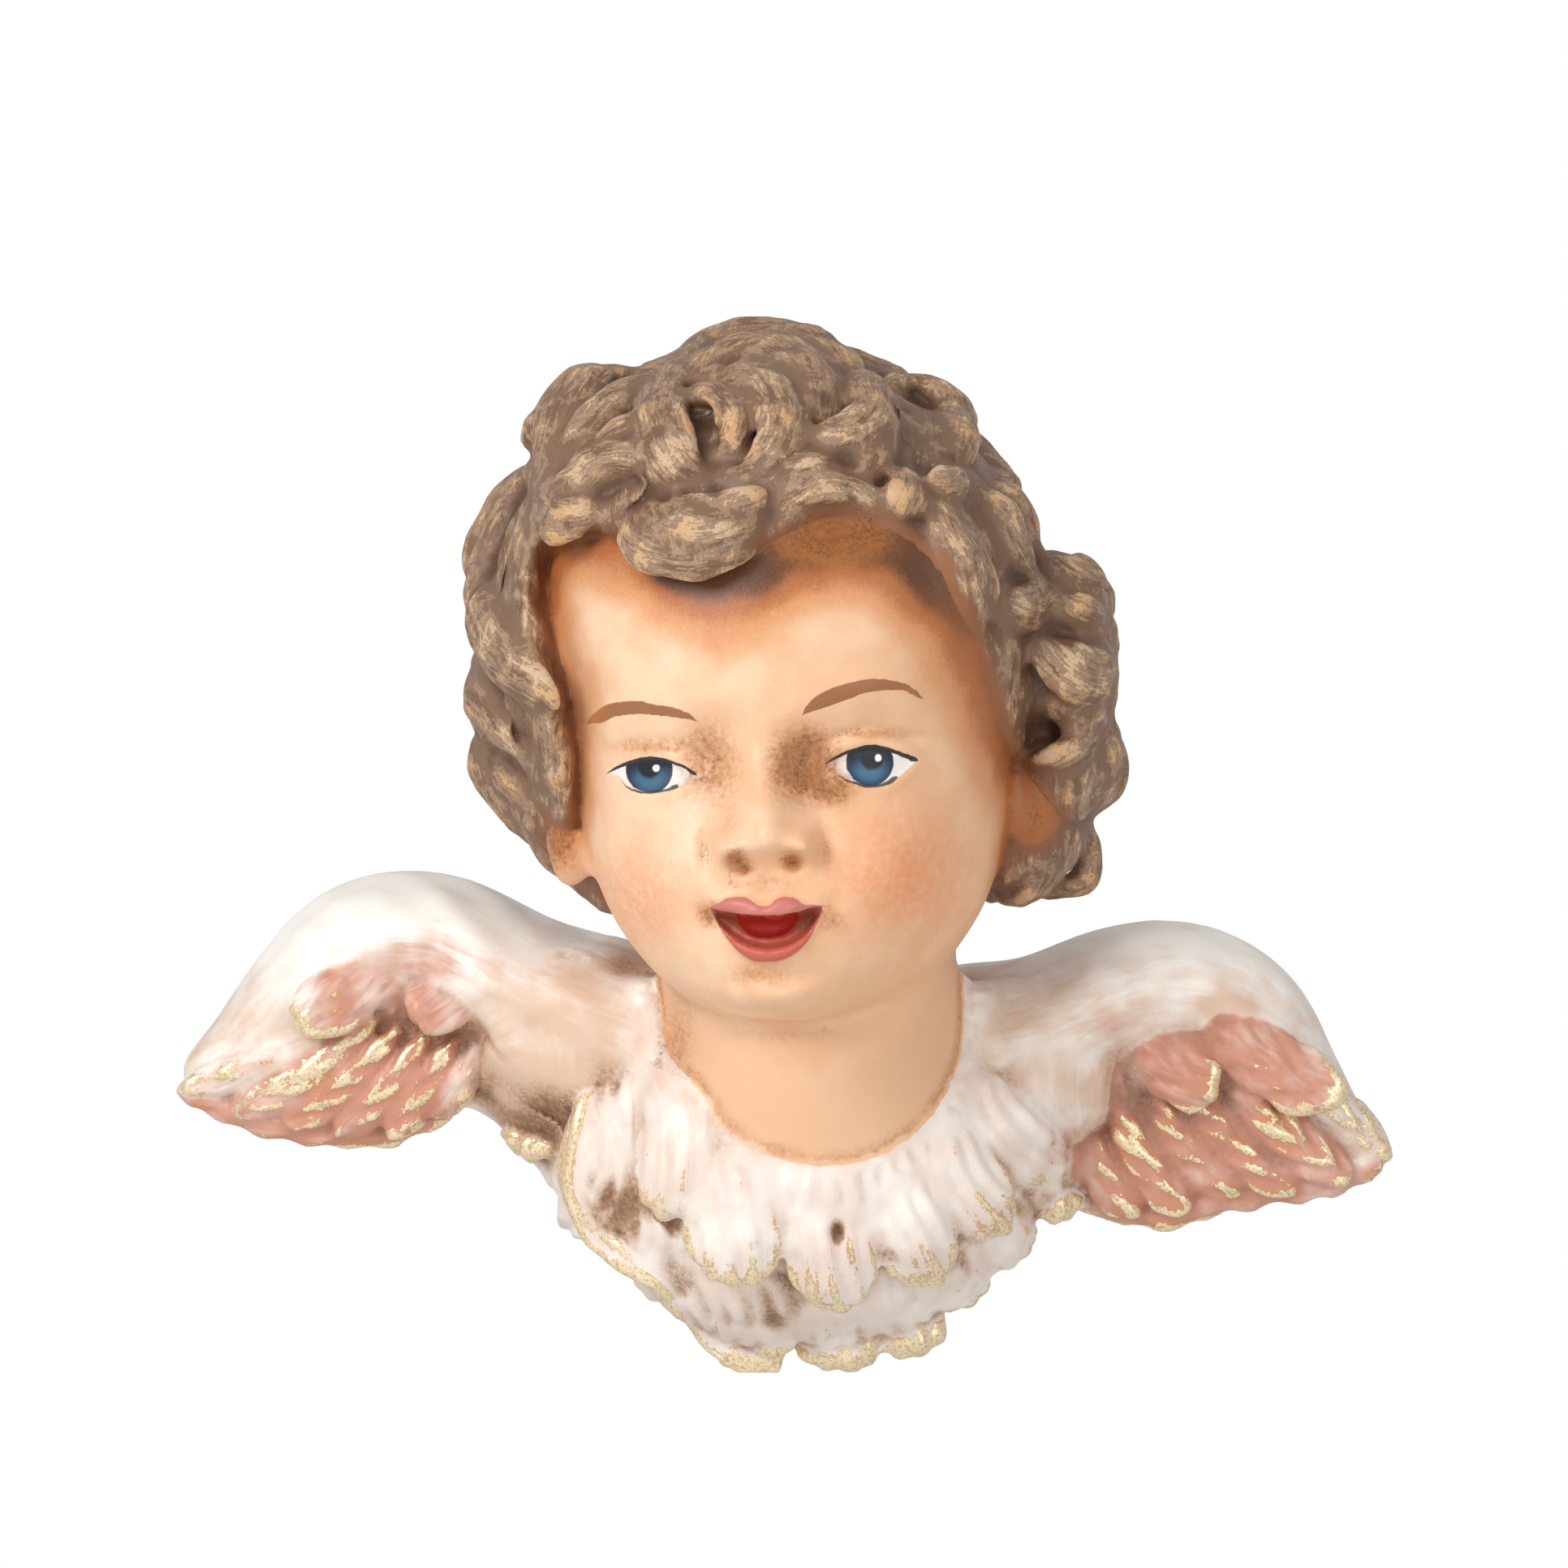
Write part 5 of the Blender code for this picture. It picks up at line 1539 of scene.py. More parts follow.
        write_points(mesh, np.clip(read_points(mesh) * MM, low, high))
        mesh.shade_smooth()
        mesh.set_sharp_from_angle(angle=math.radians(self.sharp_angle))
        ends = np.empty(2 * len(mesh.edges), np.int32)
        mesh.edges.foreach_get("vertices", ends)
        at_wall = (read_points(mesh)[ends.reshape(-1, 2), 1] > -0.5 * MM).all(axis=1)
        sharp = np.zeros(len(mesh.edges), bool)
        mesh.attributes["sharp_edge"].data.foreach_get("value", sharp)
        mesh.attributes["sharp_edge"].data.foreach_set("value", sharp & at_wall)
        log.info("casting: %d triangles", sum(len(p.vertices) - 2 for p in mesh.polygons))
        return piece


def linear(colour: Colour) -> tuple[float, float, float, float]:
    """A paint's colour for a shader, from its red, green and blue out of 255."""
    channels = [c / 255 for c in colour]
    return (*(c / 12.92 if c <= 0.04045 else ((c + 0.055) / 1.055) ** 2.4 for c in channels), 1.0)


class Wire:
    """A value, colour or vector on its way between nodes. Arithmetic on it adds Math nodes."""

    def __init__(self, tree: bpy.types.NodeTree, socket: bpy.types.NodeSocket) -> None:
        """Holds one output of a node."""
        self.tree = tree
        self.socket = socket

    def join(self, slot: bpy.types.NodeSocket, value: object) -> None:
        """Sets an input to a number or colour, or links a wire to it.

        Args:
            slot: The input.
            value: What it gets.
        """
        if isinstance(value, Wire):
            self.tree.links.new(value.socket, slot)
        else:
            slot.default_value = value

    def math(self, operation: str, *values: object) -> "Wire":
        """The result of a Math node.

        Args:
            operation: What the node does.
            values: Its inputs in order.

        Returns:
            Its output.
        """
        node = self.tree.nodes.new("ShaderNodeMath")
        node.operation = operation
        for slot, value in zip(node.inputs, values):
            self.join(slot, value)
        return Wire(self.tree, node.outputs[0])

    def __add__(self, other: object) -> "Wire":
        """The sum."""
        return self.math("ADD", self, other)

    def __sub__(self, other: object) -> "Wire":
        """The difference."""
        return self.math("SUBTRACT", self, other)

    def __rsub__(self, other: object) -> "Wire":
        """The difference the other way round."""
        return self.math("SUBTRACT", other, self)

    def __mul__(self, other: object) -> "Wire":
        """The product."""
        return self.math("MULTIPLY", self, other)

    def __neg__(self) -> "Wire":
        """The value with its sign changed."""
        return self.math("MULTIPLY", self, -1.0)

    def least(self, other: object) -> "Wire":
        """The smaller of the two."""
        return self.math("MINIMUM", self, other)

    def most(self, other: object) -> "Wire":
        """The larger of the two."""
        return self.math("MAXIMUM", self, other)

    def rise(self, low: float, high: float) -> "Wire":
        """A smooth change from 0 at low to 1 at high.

        Args:
            low: Where it starts.
            high: Where it ends.

        Returns:
            The share.
        """
        node = self.tree.nodes.new("ShaderNodeMapRange")
        node.interpolation_type = "SMOOTHSTEP"
        flip = low > high
        for name, value in (
            ("Value", self), ("From Min", min(low, high)), ("From Max", max(low, high)),
            ("To Min", float(flip)), ("To Max", float(not flip)),
        ):
            self.join(node.inputs[name], value)
        return Wire(self.tree, node.outputs["Result"])


class Desk:
    """A node tree being filled."""

    def __init__(self, tree: bpy.types.NodeTree) -> None:
        """Works on one tree."""
        self.tree = tree

    def node(self, kind: str, output: object = 0, **inputs: object) -> Wire:
        """Adds a node.

        Args:
            kind: Its type.
            output: Which output is wanted.
            inputs: Values or wires by input name, with _ for a space.

        Returns:
            The wanted output.
        """
        node = self.tree.nodes.new(kind)
        wire = Wire(self.tree, node.outputs[output])
        for name, value in inputs.items():
            wire.join(node.inputs[name.replace("_", " ")], value)
        return wire

    def value(self, name: str) -> Wire:
        """What the mesh holds under a name.

        Args:
            name: The name of the stored number.

        Returns:
            The number.
        """
        node = self.tree.nodes.new("ShaderNodeAttribute")
        node.attribute_name = name
        return Wire(self.tree, node.outputs["Fac"])

    def split(self, vector: Wire) -> dict[str, Wire]:
        """The three values of a vector.

        Args:
            vector: The vector.

        Returns:
            The values by axis.
        """
        node = self.tree.nodes.new("ShaderNodeSeparateXYZ")
        self.tree.links.new(vector.socket, node.inputs[0])
        return {axis: Wire(self.tree, node.outputs[axis]) for axis in "XYZ"}

    def vector(self, x: object, y: object, z: object) -> Wire:
        """Three values as a vector."""
        return self.node("ShaderNodeCombineXYZ", X=x, Y=y, Z=z)

    def noise(self, place: Wire, scale: float, detail: float = 2.0, distortion: float = 0.0) -> Wire:
        """A cloudy pattern.

        Args:
            place: Where it is read.
            scale: How many clouds there are to a unit.
            detail: How many finer layers it has.
            distortion: How much it is stirred.

        Returns:
            Its height, about 0.5 on average.
        """
        return self.node(
            "ShaderNodeTexNoise", "Fac", Vector=place, Scale=scale, Detail=detail, Distortion=distortion)

    def blend(self, share: object, under: object, over: object) -> Wire:
        """One colour over another.

        Args:
            share: How much of the upper one shows.
            under: The lower colour, as a wire or a paint.
            over: The upper colour, as a wire or a paint.

        Returns:
            The mixed colour.
        """
        node = self.tree.nodes.new("ShaderNodeMix")
        node.data_type = "RGBA"
        wire = Wire(self.tree, next(o for o in node.outputs if o.type == "RGBA"))
        wire.join(node.inputs["Factor"], share)
        for slot, colour in zip((s for s in node.inputs if s.type == "RGBA"), (under, over)):
            wire.join(slot, linear(colour) if isinstance(colour, tuple) else colour)
        return wire

    def line(self, across: Wire, points: list[Pair]) -> Wire:
        """The height of a drawn line.

        Args:
            across: Places across it.
            points: Its points, left to right.

        Returns:
            Its height there.
        """
        (left, right) = points[0][0], points[-1][0]
        low, high = min(p[1] for p in points), max(p[1] for p in points)
        span = max(high - low, 0.01)
        node = self.tree.nodes.new("ShaderNodeFloatCurve")
        curve = node.mapping.curves[0]
        while len(curve.points) < len(points):
            curve.points.new(0.5, 0.5)
        for spot, (x, height) in zip(curve.points, points):
            spot.location = ((x - left) / (right - left), (height - low) / span)
            spot.handle_type = "AUTO_CLAMPED"
        node.mapping.update()
        wire = Wire(self.tree, node.outputs[0])
        wire.join(node.inputs["Value"], (across - left) * (1 / (right - left)))
        return wire * span + low

    def patch(self, patch: Patch, across: Wire, up: Wire, soft: float = 0.07) -> Wire:
        """Where a painted shape covers the face.

        Args:
            patch: The shape.
            across: Places across the face.
            up: Places up the face.
            soft: Half the width of its edge.

        Returns:
            The cover, from 0 to 1.
        """
        top = self.line(across, [(x, high) for x, high, _ in patch.points])
        bottom = self.line(across, [(x, low) for x, _, low in patch.points])
        ends = (across - patch.points[0][0]).least(patch.points[-1][0] - across)
        inside = (top - up).least(up - bottom).least(ends)
        return inside.rise(-soft, soft)

    def disc(
        self, across: Wire, up: Wire, centre: Pair, radius: float, soft: float = 0.08,
    ) -> Wire:
        """A round spot.

        Args:
            across: Places across the face.
            up: Places up the face.
            centre: Its middle.
            radius: Its radius.
            soft: Half the width of its edge.

        Returns:
            The cover, from 0 to 1.
        """
        dx, dz = across - centre[0], up - centre[1]
        squared = dx * dx + dz * dz
        away = squared.math("SQRT", squared)
        return away.rise(radius + soft, radius - soft)


class PaintGroup:
    """A shader node group for an effect that several finishes share."""

    def __init__(self, name: str, inputs: tuple[str, ...], outputs: tuple[str, ...]) -> None:
        """Makes an empty group.

        Args:
            name: Its name.
            inputs: Names of its inputs; Place is a vector.
            outputs: Names of its outputs.
        """
        self.tree = bpy.data.node_groups.new(name, "ShaderNodeTree")
        for socket in inputs:
            kind = "NodeSocketVector" if socket == "Place" else "NodeSocketFloat"
            self.tree.interface.new_socket(socket, in_out="INPUT", socket_type=kind)
        for socket in outputs:
            self.tree.interface.new_socket(socket, in_out="OUTPUT", socket_type="NodeSocketFloat")
        self.desk = Desk(self.tree)
        self.start = self.tree.nodes.new("NodeGroupInput")
        self.end = self.tree.nodes.new("NodeGroupOutput")

    def inlet(self, name: str) -> Wire:
        """One of the group's inputs."""
        return Wire(self.tree, self.start.outputs[name])

    def outlet(self, name: str, wire: Wire) -> None:
        """Sends a wire to one of the group's outputs."""
        self.tree.links.new(wire.socket, self.end.inputs[name])

    def placed(self, desk: Desk, **inputs: object) -> dict[str, Wire]:
        """Puts the group into a tree.

        Args:
            desk: The tree.
            inputs: Values or wires by input name.

        Returns:
            Its outputs by name.
        """
        node = desk.tree.nodes.new("ShaderNodeGroup")
        node.node_tree = self.tree
        outputs = {o.name: Wire(desk.tree, o) for o in node.outputs}
        for name, value in inputs.items():
            next(iter(outputs.values())).join(node.inputs[name], value)
        return outputs


def brush_streaks() -> PaintGroup:
    """Streaks that a brush leaves along a lock or feather.

    Returns:
        A group with the broad streaks and the fine bristle marks.
    """
    group = PaintGroup("brush_streaks", ("Across", "Along", "Tone"), ("Streak", "Bristle"))
    across, along, tone = group.inlet("Across"), group.inlet("Along"), group.inlet("Tone")
    streak = group.desk.noise(group.desk.vector(across * 0.9, along * 0.16, tone * 40.0), 1.0, 3.0, 0.6)
    bristle = group.desk.noise(group.desk.vector(across * 3.2, along * 0.45, tone * 40.0), 1.0, 3.0, 0.3)
    group.outlet("Streak", streak)
    group.outlet("Bristle", bristle)
    return group


def rubbed_colour() -> PaintGroup:
    """Dry colour rubbed over what stands out, with a crusty edge.

    Returns:
        A group that gives its cover.
    """
    group = PaintGroup("rubbed_colour", ("Height", "Streak", "Crust", "Amount"), ("Cover",))
    high = group.inlet("Height") + (group.inlet("Streak") - 0.5) * 1.5 + (group.inlet("Crust") - 0.5) * 1.1
    group.outlet("Cover", (high + group.inlet("Amount")).rise(0.97, 1.08))
    return group


def settled_wash() -> PaintGroup:
    """Thin dark wash that has settled in the hollows and been wiped off the rest.

    Returns:
        A group that gives its cover.
    """
    group = PaintGroup("settled_wash", ("Depth", "Crust", "Amount"), ("Cover",))
    deep = group.inlet("Depth") * (group.inlet("Crust") * 1.2 + 0.4) + group.inlet("Amount")
    group.outlet("Cover", deep.rise(0.0, 1.0))
    return group


def hair_cracks() -> PaintGroup:
    """Fine curled cracks and fibres where the wash is thick.

    Returns:
        A group that gives their cover.
    """
    group = PaintGroup("hair_cracks", ("Place", "Depth"), ("Cover",))
    desk, place = group.desk, group.inlet("Place")
    stirred = desk.noise(place, 0.55, 4.0, 2.6) - 0.5
    line = stirred.math("ABSOLUTE", stirred)
    patchy = desk.noise(place, 0.22, 2.0)
    cover = line.rise(0.012, 0.004) * patchy.rise(0.5, 0.62) * group.inlet("Depth").rise(0.25, 0.7)
    group.outlet("Cover", cover)
    return group


@dataclass(frozen=True)
class SkinPaint:
    """Flesh colour, sprayed blush, the brown haze along the hair and painted shade on the neck below the
    chin.
    """

    flesh: Colour = (240, 190, 148)
    pale: Colour = (252, 213, 178)
    # Tan for the painted shade on the neck below the chin.
    neck: Colour = (230, 184, 146)
    blush: Colour = (242, 156, 106)
    glow: Colour = (220, 150, 98)
    haze: Colour = (178, 102, 52)
    haze_deep: Colour = (92, 54, 28)
    wash: Colour = (180, 112, 54)
    wash_deep: Colour = (116, 64, 22)
    roughness: float = 0.42


@dataclass(frozen=True)
class FeaturePaint:
    """Brows, eyes and lips."""

    brow: Colour = (154, 92, 50)
    sclera: Colour = (240, 233, 228)
    iris: Colour = (64, 108, 138)
    # The rim of the iris, also laid over its top as painted shadow of the upper lid.
    iris_edge: Colour = (34, 54, 84)
    # Black of the eye's centre, also used for the painted shadow of the upper lid over the top of the iris.
    pupil_and_shadow: Colour = (22, 25, 32)
    lash: Colour = (48, 42, 42)
    glint: Colour = (255, 255, 255)
    upper_lip: Colour = (206, 122, 112)
    lower_lip: Colour = (204, 100, 84)
    inner_lip: Colour = (180, 84, 62)
    mouth: Colour = (150, 72, 50)
    tongue: Colour = (152, 22, 10)


@dataclass(frozen=True)
class HairPaint:
    """Taupe brown, darker in the hollows, with tan rubbed over the ridges."""

    base: Colour = (124, 90, 66)
    grey: Colour = (152, 122, 99)
    deep: Colour = (84, 56, 38)
    warm: Colour = (156, 92, 50)
    middle: Colour = (176, 145, 118)
    tan: Colour = (212, 180, 146)
    peach: Colour = (214, 168, 120)
    roughness: float = 0.5


@dataclass(frozen=True)
class FeatherPaint:
    """Cream white with rose on the wings, brown wash in the hollows and gold on the edges."""

    cream: Colour = (252, 246, 238)
    lilac: Colour = (244, 232, 224)
    rose: Colour = (200, 124, 92)
    rose_deep: Colour = (144, 76, 48)
    brown_tint: Colour = (218, 180, 150)
    wash: Colour = (180, 136, 102)
    wash_deep: Colour = (104, 68, 42)
    gold: Colour = (252, 230, 192)
    gold_dark: Colour = (192, 158, 110)
    size: Colour = (206, 138, 52)
    roughness: float = 0.5
    gold_roughness: float = 0.34


@dataclass(frozen=True)
class BareCast:
    """The unpainted casting on the back."""

    colour: Colour = (232, 224, 212)
    dusty: Colour = (214, 202, 186)
    roughness: float = 0.85


class Paint:
    """The paint of the whole casting, laid on in one material."""

    def __init__(self, face: Face) -> None:
        """Prepares the tree and what every finish reads.

        Args:
            face: Where the features are.
        """
        self.material = bpy.data.materials.new("hand_painted_casting")
        self.material.use_nodes = True
        self.desk = Desk(self.material.node_tree)
        self.face = face
        self.skin_paint = SkinPaint()
        self.feature_paint = FeaturePaint()
        self.hair_paint = HairPaint()
        self.feather_paint = FeatherPaint()
        self.bare = BareCast()
        desk = self.desk
        metres = desk.node("ShaderNodeTexCoord", "Object")
        self.place = desk.node("ShaderNodeMapping", Vector=metres, Scale=(1000.0, 1000.0, 1000.0))
        self.speck = desk.noise(self.place, 2.6, 2.0)
        self.crust = desk.noise(self.place, 1.5, 4.0, 0.4)
        self.cloud = desk.noise(self.place, 0.16, 3.0)
        self.front = desk.split(self.place)
        traits = tuple(trait.name.lower() for trait in Trait)
        self.values = value = {name: desk.value(name) for name in traits + MEASURES}
        streaks = brush_streaks().placed(
            desk, Across=value["across"], Along=value["along"], Tone=value["tone"])
        self.streak, self.bristle = ((streaks[n] - 0.5) * value["calm"] + 0.5 for n in ("Streak", "Bristle"))
        self.rubbed = rubbed_colour()
        self.washed = settled_wash()
        self.cracks = hair_cracks()

    def face_places(self) -> tuple[Wire, Wire]:
        """Places across and up the face, a little uneven as a hand paints.

        Returns:
            The two wires in millimetres.
        """
        node = self.desk.tree.nodes.new("ShaderNodeMapping")
        node.vector_type = "TEXTURE"
        node.inputs["Location"].default_value = (self.face.centre[0], 0, self.face.centre[1])
        node.inputs["Rotation"].default_value = (0, -math.radians(self.face.tilt), 0)
        self.desk.tree.links.new(self.place.socket, node.inputs["Vector"])
        plane = self.desk.split(Wire(self.desk.tree, node.outputs[0]))
        shake = (self.desk.noise(self.place, 1.1, 1.0) - 0.5) * 0.22
        return plane["X"] + shake, plane["Z"] + shake

    def rub(self, high: Wire, amount: float) -> Wire:
        """Rubs dry colour over what stands out.

        Args:
            high: How far each place stands out.
            amount: How much more is rubbed on.

        Returns:
            Its cover.
        """
        rubbed = self.rubbed.placed(
            self.desk, Height=high, Streak=self.streak, Crust=self.crust, Amount=amount)
        return rubbed["Cover"]

    def eye(self, colour: Wire, u: Wire, w: Wire, side: Side) -> Wire:
        """Paints one eye over a colour.

        Args:
            colour: What is below.
            u: Places across the face.
            w: Places up the face.
            side: Which eye.

        Returns:
            The colour with the eye.
        """
        desk, paint, face = self.desk, self.feature_paint, self.face
        opening = desk.patch((face.left_eye, face.right_eye)[side], u, w)
        iris_at, pupil_at, glint_at = face.irises[side], face.pupils[side], face.glints[side]
        iris = desk.disc(u, w, iris_at, 3.0) * opening
        # The rim of the iris sits low, so its top is darker: painted shadow of the upper lid.
        ring = desk.disc(u, w, (iris_at[0], iris_at[1] - 0.5), 2.05, 0.8)
        blue = desk.blend(ring, paint.iris_edge, paint.iris)
        blue = desk.blend((self.bristle - 0.35) * 0.6, blue, paint.iris_edge)
        colour = desk.blend(iris, colour, blue)
        # The black centre of the eye, and the top of the iris darkened as painted shadow of the upper lid.
        pupil_and_lid_shadow = desk.disc(u, w, pupil_at, 1.65, 0.3).most(iris * (w - pupil_at[1]).rise(-2.0, 0.3) * 0.92)
        colour = desk.blend(pupil_and_lid_shadow * opening, colour, paint.pupil_and_shadow)
        colour = desk.blend(desk.disc(u, w, glint_at, 0.44, 0.1), colour, paint.glint)
        lash = desk.patch((face.left_lash, face.right_lash)[side], u, w)
        under = desk.patch((face.left_under, face.right_under)[side], u, w)
        return desk.blend(lash.most(under * 0.9), colour, paint.lash)

    def mouth(self, colour: Wire, u: Wire, w: Wire) -> Wire:
        """Paints the lips and the open mouth over a colour.

        Args:
            colour: What is below.
            u: Places across the face.
            w: Places up the face.

        Returns:
            The colour with the mouth.
        """
        desk, paint, face = self.desk, self.feature_paint, self.face
        inside = desk.patch(face.mouth, u, w)
        inner = desk.blend((-w).rise(18.6, 21.6), paint.mouth, paint.inner_lip)
        colour = desk.blend(inside, colour, inner)
        tongue = desk.patch(face.tongue, u, w, 0.14)
        colour = desk.blend(tongue * (self.crust.rise(0.1, 0.5) * 0.35 + 0.65), colour, paint.tongue)
        low = desk.patch(face.lower_lip, u, w, 0.16)
        colour = desk.blend(low, colour, paint.lower_lip)
        return desk.blend(desk.patch(face.upper_lip, u, w), colour, paint.upper_lip)

    def skin(self) -> Wire:
        """The colour of the face and neck.

        Returns:
            The colour with every feature.
        """
        desk, paint, value = self.desk, self.skin_paint, self.values
        feature = self.feature_paint
        across, up = self.front["X"], self.front["Z"]
        # Paler in random patches, and paler towards the left as painted light on the side that the key light
        # falls on.
        clear = self.cloud.rise(0.3, 0.7) * 0.5 + across.rise(4.0, -16.0) * 0.5 + (self.speck - 0.5) * 0.4
        colour = desk.blend(clear.rise(0.1, 1.0), paint.flesh, paint.pale)
        mottled = desk.noise(self.place, 0.9, 4.0).rise(0.25, 0.7) * 0.6 + 0.4
        mottled = mottled - self.speck.rise(0.58, 0.7) * 0.35
        colour = desk.blend(value["blush"] * mottled, colour, paint.blush)
        u, w = self.face_places()
        brows = desk.patch(self.face.left_brow, u, w).most(desk.patch(self.face.right_brow, u, w))
        eyes = desk.patch(self.face.left_eye, u, w).most(desk.patch(self.face.right_eye, u, w))
        front = value["front"].rise(0.3, 0.6) * value["skin"].rise(0.6, 0.9)
        colour = desk.blend(brows * front * (self.bristle * 0.3 + 0.8), colour, feature.brow)
        colour = desk.blend(eyes * front, colour, feature.sclera)
        grit = (self.speck - 0.5) * 0.55
        lower = up.rise(40.0, 24.0)
        near_hair = value["to_hair"] + (self.cloud - 0.5) * 4.0 + across.rise(-10.0, -20.0) * 5.0
        near_hair = near_hair + lower * 0.6 - across.rise(0.0, 16.0) * 0.8 - up.rise(35.0, 44.0) * 3.6
        # Painted shade on the neck below the chin: tan towards the collar, away from the front of the face.
        under_chin_shade = value["to_collar"].rise(13.9, 9.0) * (1 - value["front"]) * 0.8
        colour = desk.blend(under_chin_shade, colour, paint.neck)
        glow = (near_hair.rise(15.0, 4.0) + grit * near_hair.rise(15.0, 6.0)).rise(0.0, 1.0)
        colour = desk.blend(glow * 0.95, colour, paint.glow)
        haze = (near_hair.rise(8.0, 1.5) + grit * near_hair.rise(10.0, 4.0)).rise(0.05, 0.95)
        colour = desk.blend(haze * 0.9, colour, paint.haze)
        deep = (near_hair.rise(4.2, -0.6) + grit * 0.9).rise(0.1, 1.1) * (up.rise(34.0, 44.0) * 0.6 + 0.4)
        colour = desk.blend(deep, colour, paint.haze_deep)
        # The brown wash with the painted shade beside the nose and above the eyes, and the wash along the
        # collar.
        wash_and_shade = value["wash"].most(value["to_collar"].rise(3.4, 0.0) * 0.6)
        thick = (wash_and_shade * 1.2 + (self.crust - 0.5) * wash_and_shade.rise(0.0, 0.4) * 0.8).rise(0.0, 0.9)
        colour = desk.blend(thick * 0.8, colour, paint.wash)
        speckled = thick + (self.speck - 0.5) * 0.45 + (self.crust - 0.5) * 0.5
        colour = desk.blend(speckled.rise(0.76, 1.3) * 0.8, colour, paint.wash_deep)
        painted = self.eye(self.mouth(colour, u, w), u, w, Side.LEFT)
        painted = self.eye(painted, u, w, Side.RIGHT)
        return desk.blend(front, colour, painted)

    def hair(self) -> tuple[Wire, Wire]:
        """The colour of the hair.

        Returns:
            The colour and the cover of the rubbed tan.
        """
        desk, paint, value = self.desk, self.hair_paint, self.values
        colour = desk.blend(self.streak.rise(0.35, 0.7) * 0.7, paint.base, paint.grey)
        deep = (value["broad"] * -1.1 + value["fine"] * -2.2 + (self.crust - 0.5) * 0.5).rise(0.1, 0.9)
        colour = desk.blend(deep * 0.8, colour, paint.deep)
        warm = (value["to_skin"] + (self.cloud - 0.5) * 4.0).rise(3.6, 0.0)
        colour = desk.blend(warm * 0.75, colour, paint.warm)
        patchy = desk.noise(self.place, 0.3, 3.0, 0.8)
        high = value["fine"] * 2.4 + value["broad"] * 0.45 + (patchy - 0.5) * 2.2 + (self.bristle - 0.5) * 1.3
        dry = warm.rise(0.8, 0.2)
        tan = self.rub(high, 0.4) * dry
        dusted = (self.speck * 1.1 + (self.bristle - 0.5) * 1.0 + high * 0.4).rise(0.68, 0.9) * dry
        middle = self.rub(high, 0.85) * dry
        colour = desk.blend(middle * 0.5, colour, paint.middle)
        light = desk.blend(self.cloud.rise(0.4, 0.6), paint.tan, paint.peach)
        cover = (tan * (self.speck.rise(0.34, 0.5) * 0.45 + 0.5)).most(dusted * 0.4)
        colour = desk.blend(cover, colour, light)
        return colour, tan

    def feathers(self) -> tuple[Wire, Wire]:
        """The colour of the wings and collar.

        Returns:
            The colour and the cover of the gold.
        """
        desk, paint, value = self.desk, self.feather_paint, self.values
        colour = desk.blend(value["collar"] * self.cloud.rise(0.3, 0.65), paint.cream, paint.lilac)
        rose = (value["rose"] + (self.cloud - 0.5) * 0.9 + (self.streak - 0.5) * 0.6).rise(0.3, 1.0)
        depth = value["broad"] * -0.8 + value["fine"].most(-0.1) * -1.2 + value["soil"] * 0.6
        dip = (depth * 1.2 + (self.crust - 0.5) * 0.6 + (self.cloud - 0.5) * 0.8).rise(-0.1, 0.9)
        blush = desk.blend(dip, paint.rose, paint.rose_deep)
        colour = desk.blend(rose * 0.9, colour, blush)
        white = rose.rise(0.8, 0.2)
        # A light brown tint over the white, from the soil stains and random patches, and stronger towards the
        # bottom.
        low = self.front["Z"].rise(2.0, -14.0)
        brown_tint = value["soil"] + (self.cloud - 0.5) * 1.3 + (self.streak - 0.5) * 0.6 + low * 0.6
        brown_tint = brown_tint.rise(0.1, 1.1) * white * (1 - value["collar"] * 0.55) * 0.85
        colour = desk.blend(brown_tint, colour, paint.brown_tint)
        wash = self.washed.placed(desk, Depth=depth * 1.5, Crust=self.crust, Amount=-0.12)["Cover"]
        colour = desk.blend(wash * (white * 0.6 + 0.3), colour, paint.wash)
        deep = (depth + (self.crust - 0.5) * 0.8).rise(0.45, 1.1)
        colour = desk.blend(deep * (white * 0.5 + 0.35), colour, paint.wash_deep)
        long = value["gold"].rise(0.45, 0.75) * value["wing"]
        ridge = (1 - value["rim"]).rise(0.2, 0.9) * long * 0.35
        edge = value["rim"].rise(0.45, 0.98) * (0.45 - long * 0.3) + value["tip"] * (0.5 - long * 0.15)
        high = value["fine"] * 2.4 + value["broad"] * 0.3 + edge + ridge + (value["gold"] - 0.62) * 0.7
        high = high + (self.cloud - 0.5) * 0.8
        gilt = value["gold"].rise(0.05, 0.3)
        gold = self.rub(high, 0.0) * gilt
        under = self.rub(high, 0.1)
        colour = desk.blend(under * gilt * self.cloud.rise(0.45, 0.6) * 0.8, colour, paint.size)
        dull = (self.speck * 0.7 + self.crust * 0.4 + self.bristle * 0.3).rise(0.66, 0.86) * 0.7
        return desk.blend(gold, colour, desk.blend(dull, paint.gold, paint.gold_dark)), gold

